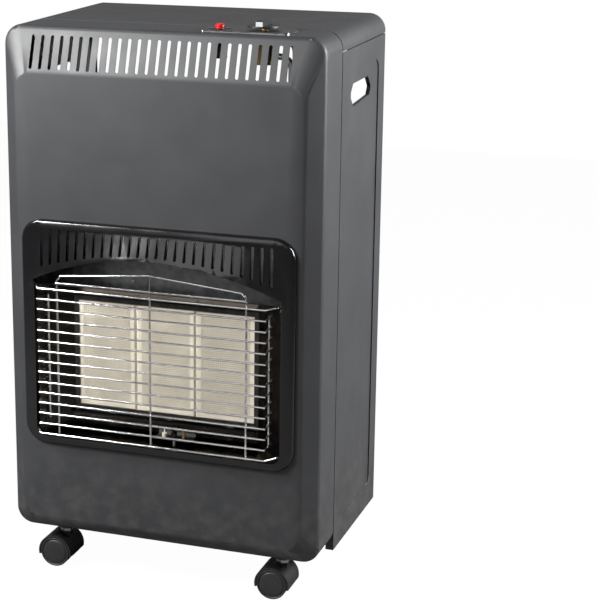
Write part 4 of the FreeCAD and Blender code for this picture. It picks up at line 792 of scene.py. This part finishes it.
def button_dish():
    """Dished ring round the igniter button on the control plate, in black gloss as painted shade of the
    dish's hollow.
    """
    middle = centre_of("igniter_button")
    middle.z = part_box("control_plate")[1].z + DISH_RISE / 2
    clear()
    bpy.ops.mesh.primitive_torus_add(major_segments=DISH_FACETS, minor_segments=BAND_FACETS,
                                     major_radius=DISH_RADIUS, minor_radius=DISH_BAND, location=middle)
    ring = begin("button_dish")
    settle(ring)
    bpy.ops.object.mode_set(mode="EDIT")
    bpy.ops.mesh.select_all(action="SELECT")
    bpy.ops.transform.resize(value=(1.0, 1.0, DISH_RISE / (2 * DISH_BAND)), center_override=middle.to_tuple())
    bpy.ops.object.mode_set(mode="OBJECT")
    pick(ring, lambda c, n: n.z > DISH_TOP and (c - middle).xy.length < DISH_RADIUS + DISH_BAND / 2)
    bpy.ops.mesh.inset(thickness=GROOVE_INSET, depth=-GROOVE_DEPTH)
    bpy.ops.object.mode_set(mode="OBJECT")
    smooth(ring)
    # Painted shade: the black gloss stands for the shade in the dish round the button.
    fit(ring, NODE_BODY["control_plate"], "black_gloss")


# ------------------------------------------------------------------ operators

class HEATER_OT_cabinet(bpy.types.Operator):
    """Front shell with its bends closed, and the hinge pieces, castor sockets and heat shield fixed to it."""

    bl_idname = "heater.cabinet"
    bl_label = "Cabinet"
    bl_options = {"REGISTER", "UNDO"}

    def execute(self, context):
        bend_fillers()
        dressed("front_shell", join=False)
        dress_all("left_hinge_brackets", "right_hinge_brackets", "left_hinge_pins", "right_hinge_pins",
                  "lid_hinge_brackets", "lid_hinge_pins", "tray_hinge_leaves", "tray_hinge_pins",
                  "front_castor_sockets", "front_castor_stems", "heat_shield")
        return {"FINISHED"}


class HEATER_OT_surround(bpy.types.Operator):
    """Glossy burner surround and the chromed guard."""

    bl_idname = "heater.surround"
    bl_label = "Burner surround and guard"
    bl_options = {"REGISTER", "UNDO"}

    def execute(self, context):
        dressed("burner_bezel", join=False)
        dressed("wire_guard")
        return {"FINISHED"}


class HEATER_OT_burner(bpy.types.Operator):
    """Perforated plaques, their frame and chamber, the reflectors and the pilot."""

    bl_idname = "heater.burner"
    bl_label = "Burner"
    bl_options = {"REGISTER", "UNDO"}

    def execute(self, context):
        for place in ("left", "centre", "right"):
            perforated("plaque_" + place)
        dress_all("plaque_frame", "burner_box", "top_reflector", "bottom_reflector", "left_reflector",
                  "right_reflector", "flame_bar", "burner_brackets", "pilot_bracket", "pilot_burner",
                  "spark_electrode", "thermocouple")
        return {"FINISHED"}


class HEATER_OT_gas_line(bpy.types.Operator):
    """Manifold, mixing tubes, gas tubes, tap body and inlet."""

    bl_idname = "heater.gas_line"
    bl_label = "Gas line"
    bl_options = {"REGISTER", "UNDO"}

    def execute(self, context):
        dress_all("injector_manifold", "venturi_tubes", "supply_tube", "pilot_tube", "gas_tap_body",
                  "gas_inlet")
        return {"FINISHED"}


class HEATER_OT_controls(bpy.types.Operator):
    """Control plate, knob with painted light on the front face of its bar, and the igniter with painted shade
    in the dish round its button.
    """

    bl_idname = "heater.controls"
    bl_label = "Controls"
    bl_options = {"REGISTER", "UNDO"}

    def execute(self, context):
        edge = context.scene.heater_detail.moulded_edge * KNOB_EASE
        second_finish(dressed("control_plate"), "plate_face", lambda c, n: n.z > LEVEL)
        knob = dressed("control_knob", edge)
        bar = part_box("control_knob")[1].z - KNOB_BAR
        # Painted light: the front faces of the bar are painted pale.
        second_finish(knob, "pointer_paint", lambda c, n: n.y < -NEARLY_FACING and c.z > bar)
        dressed("igniter_button", edge)
        button_dish()
        dress_all("igniter_body", "spindle_collar", "tap_spindle")
        return {"FINISHED"}


class HEATER_OT_rear(bpy.types.Operator):
    """Folding side panels, the lid, and the base tray with its hooks and castor sockets."""

    bl_idname = "heater.rear"
    bl_label = "Folding rear"
    bl_options = {"REGISTER", "UNDO"}

    def execute(self, context):
        dress_all("left_side_panel", "right_side_panel", "top_lid", "base_tray", "hose_hooks",
                  "rear_castor_sockets", "rear_castor_stems")
        return {"FINISHED"}


class HEATER_OT_castors(bpy.types.Operator):
    """Four twin-wheel castors: hoods, axles, wheels and stem nuts."""

    bl_idname = "heater.castors"
    bl_label = "Castors"
    bl_options = {"REGISTER", "UNDO"}

    def execute(self, context):
        master = wheel_master()
        for corner in CASTORS:
            dressed("castor_hood_" + corner, context.scene.heater_detail.moulded_edge * HOOD_EASE)
            dressed("castor_axle_" + corner)
            castor_wheels(corner, master)
            stem_nut(corner)
        bpy.data.objects.remove(master)
        return {"FINISHED"}


def behind_heater(nodes, place):
    """0 for what lies or looks before the heater, rising to 1 behind it."""
    return nodes.add("ShaderNodeSeparateXYZ", {}, {"Vector": place}, "Y").clipped(SHEEN_START, SHEEN_FULL)


def pale_stage(name, own_glow, mirrored_glow):
    """White to the camera, dim to the other rays, brighter in a sheen behind the heater than before it."""
    finish = Finish(name)
    seen, passed_on = finish.rays()
    glow = finish.add("ShaderNodeEmission", {}, {"Color": WHITE, "Strength": 1.0})
    finish.set(Base_Color=finish.blend(seen, STAGE_GREY, WHITE), Roughness=1.0, Specular_IOR_Level=0.0)
    plain = Signal(finish, finish.shader.outputs[0])
    share_of_glow = seen * own_glow + passed_on * behind_heater(finish, finish.place) * mirrored_glow
    mixed = finish.add("ShaderNodeMixShader", {}, {0: share_of_glow, 1: plain, 2: glow})
    finish.feed(finish.tree.nodes["Material Output"].inputs[0], mixed)
    return finish.material


def lamp(name, place, target, side, power):
    """A soft square lamp aimed at a point."""
    data = bpy.data.lights.new(name, "AREA")
    data.shape = "RECTANGLE"
    data.size = data.size_y = side
    data.energy = power
    made = bpy.data.objects.new(name, data)
    bpy.context.scene.collection.objects.link(made)
    made.location = place
    made.rotation_mode = "QUATERNION"
    made.rotation_quaternion = (Vector(target) - Vector(place)).to_track_quat("-Z", "Y")


class HEATER_OT_stage(bpy.types.Operator):
    """Pale floor and backdrop, soft lamps, room light and the camera."""

    bl_idname = "heater.stage"
    bl_label = "Stage"
    bl_options = {"REGISTER", "UNDO"}

    def execute(self, context):
        stage = context.scene.heater_stage
        self.sheet("studio_floor", stage, (0.0, 0.0, 0.0), (0.0, 0.0, 0.0), FLOOR_GLOW)
        self.sheet("studio_backdrop", stage, (0.0, BACKDROP_REACH, 0.0), QUARTER_TURN, BACKDROP_GLOW)
        self.world(context, stage)
        for name, place, target, side, power in LAMPS:
            lamp(name, place, target, side, getattr(stage, power))
        self.camera(context, stage)
        return {"FINISHED"}

    def sheet(self, name, stage, place, turn, own_glow):
        """A wide plain plane of the stage."""
        clear()
        bpy.ops.mesh.primitive_plane_add(size=2 * stage.floor_reach, location=place, rotation=turn)
        plane = begin(name)
        plane.data.materials.append(pale_stage(name, own_glow, stage.sheen))
        settle(plane)

    def world(self, context, stage):
        """A dim grey room, white to the camera and brighter in a sheen behind the heater."""
        world = bpy.data.worlds.new("studio_room")
        context.scene.world = world
        world.use_nodes = True
        room = Nodes(world.node_tree)
        seen, passed_on = room.rays()
        toward = room.add("ShaderNodeTexCoord", {}, {}, "Generated")
        mirrored = passed_on * behind_heater(room, toward) * stage.sheen
        back = world.node_tree.nodes["Background"]
        room.feed(back.inputs["Color"], WHITE)
        room.feed(back.inputs["Strength"], seen * (1.0 - stage.sky) + mirrored + stage.sky)

    def camera(self, context, stage):
        """The camera, aimed by its azimuth, elevation and roll."""
        data = bpy.data.cameras.new("front_camera")
        camera = bpy.data.objects.new("front_camera", data)
        context.scene.collection.objects.link(camera)
        data.sensor_fit = "HORIZONTAL"
        data.sensor_width = SENSOR_WIDTH
        data.lens = stage.focal
        data.shift_x, data.shift_y = stage.shift_x, stage.shift_y
        data.clip_start, data.clip_end = CLIP_START, CLIP_END
        flat = math.cos(stage.elevation)
        ahead = Vector((-math.sin(stage.azimuth) * flat, math.cos(stage.azimuth) * flat,
                        -math.sin(stage.elevation)))
        aim = ahead.to_track_quat("-Z", "Y").to_matrix() @ Matrix.Rotation(stage.roll, 3, "Z")
        camera.location = stage.stand
        camera.rotation_mode = "QUATERNION"
        camera.rotation_quaternion = aim.to_quaternion()
        context.scene.camera = camera
        context.scene.view_settings.view_transform = "Standard"


class HEATER_PT_panel(bpy.types.Panel):
    """Lists the heater's operators in the sidebar."""

    bl_idname = "HEATER_PT_panel"
    bl_label = "Gas Cabinet Heater"
    bl_space_type = "VIEW_3D"
    bl_region_type = "UI"
    bl_category = "Heater"

    def draw(self, context):
        for operator in STEPS:
            self.layout.operator(operator.bl_idname)


STEPS = (HEATER_OT_cabinet, HEATER_OT_surround, HEATER_OT_burner, HEATER_OT_gas_line, HEATER_OT_controls,
         HEATER_OT_rear, HEATER_OT_castors, HEATER_OT_stage)
GROUPS = {"heater_finishes": HeaterFinishes, "heater_detail": HeaterDetail, "heater_stage": HeaterStage}


def register():
    """Adds the settings, the operators and the panel."""
    for group in GROUPS.values():
        bpy.utils.register_class(group)
    for name, group in GROUPS.items():
        setattr(bpy.types.Scene, name, bpy.props.PointerProperty(type=group))
    for operator in STEPS:
        bpy.utils.register_class(operator)
    bpy.utils.register_class(HEATER_PT_panel)


def unregister():
    """Takes away what register adds."""
    bpy.utils.unregister_class(HEATER_PT_panel)
    for operator in reversed(STEPS):
        bpy.utils.unregister_class(operator)
    for name in GROUPS:
        delattr(bpy.types.Scene, name)
    for group in reversed(list(GROUPS.values())):
        bpy.utils.unregister_class(group)


def main():
    """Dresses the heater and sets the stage."""
    register()
    for operator in STEPS:
        group, name = operator.bl_idname.split(".")
        getattr(getattr(bpy.ops, group), name)()


if __name__ == "__main__":
    main()
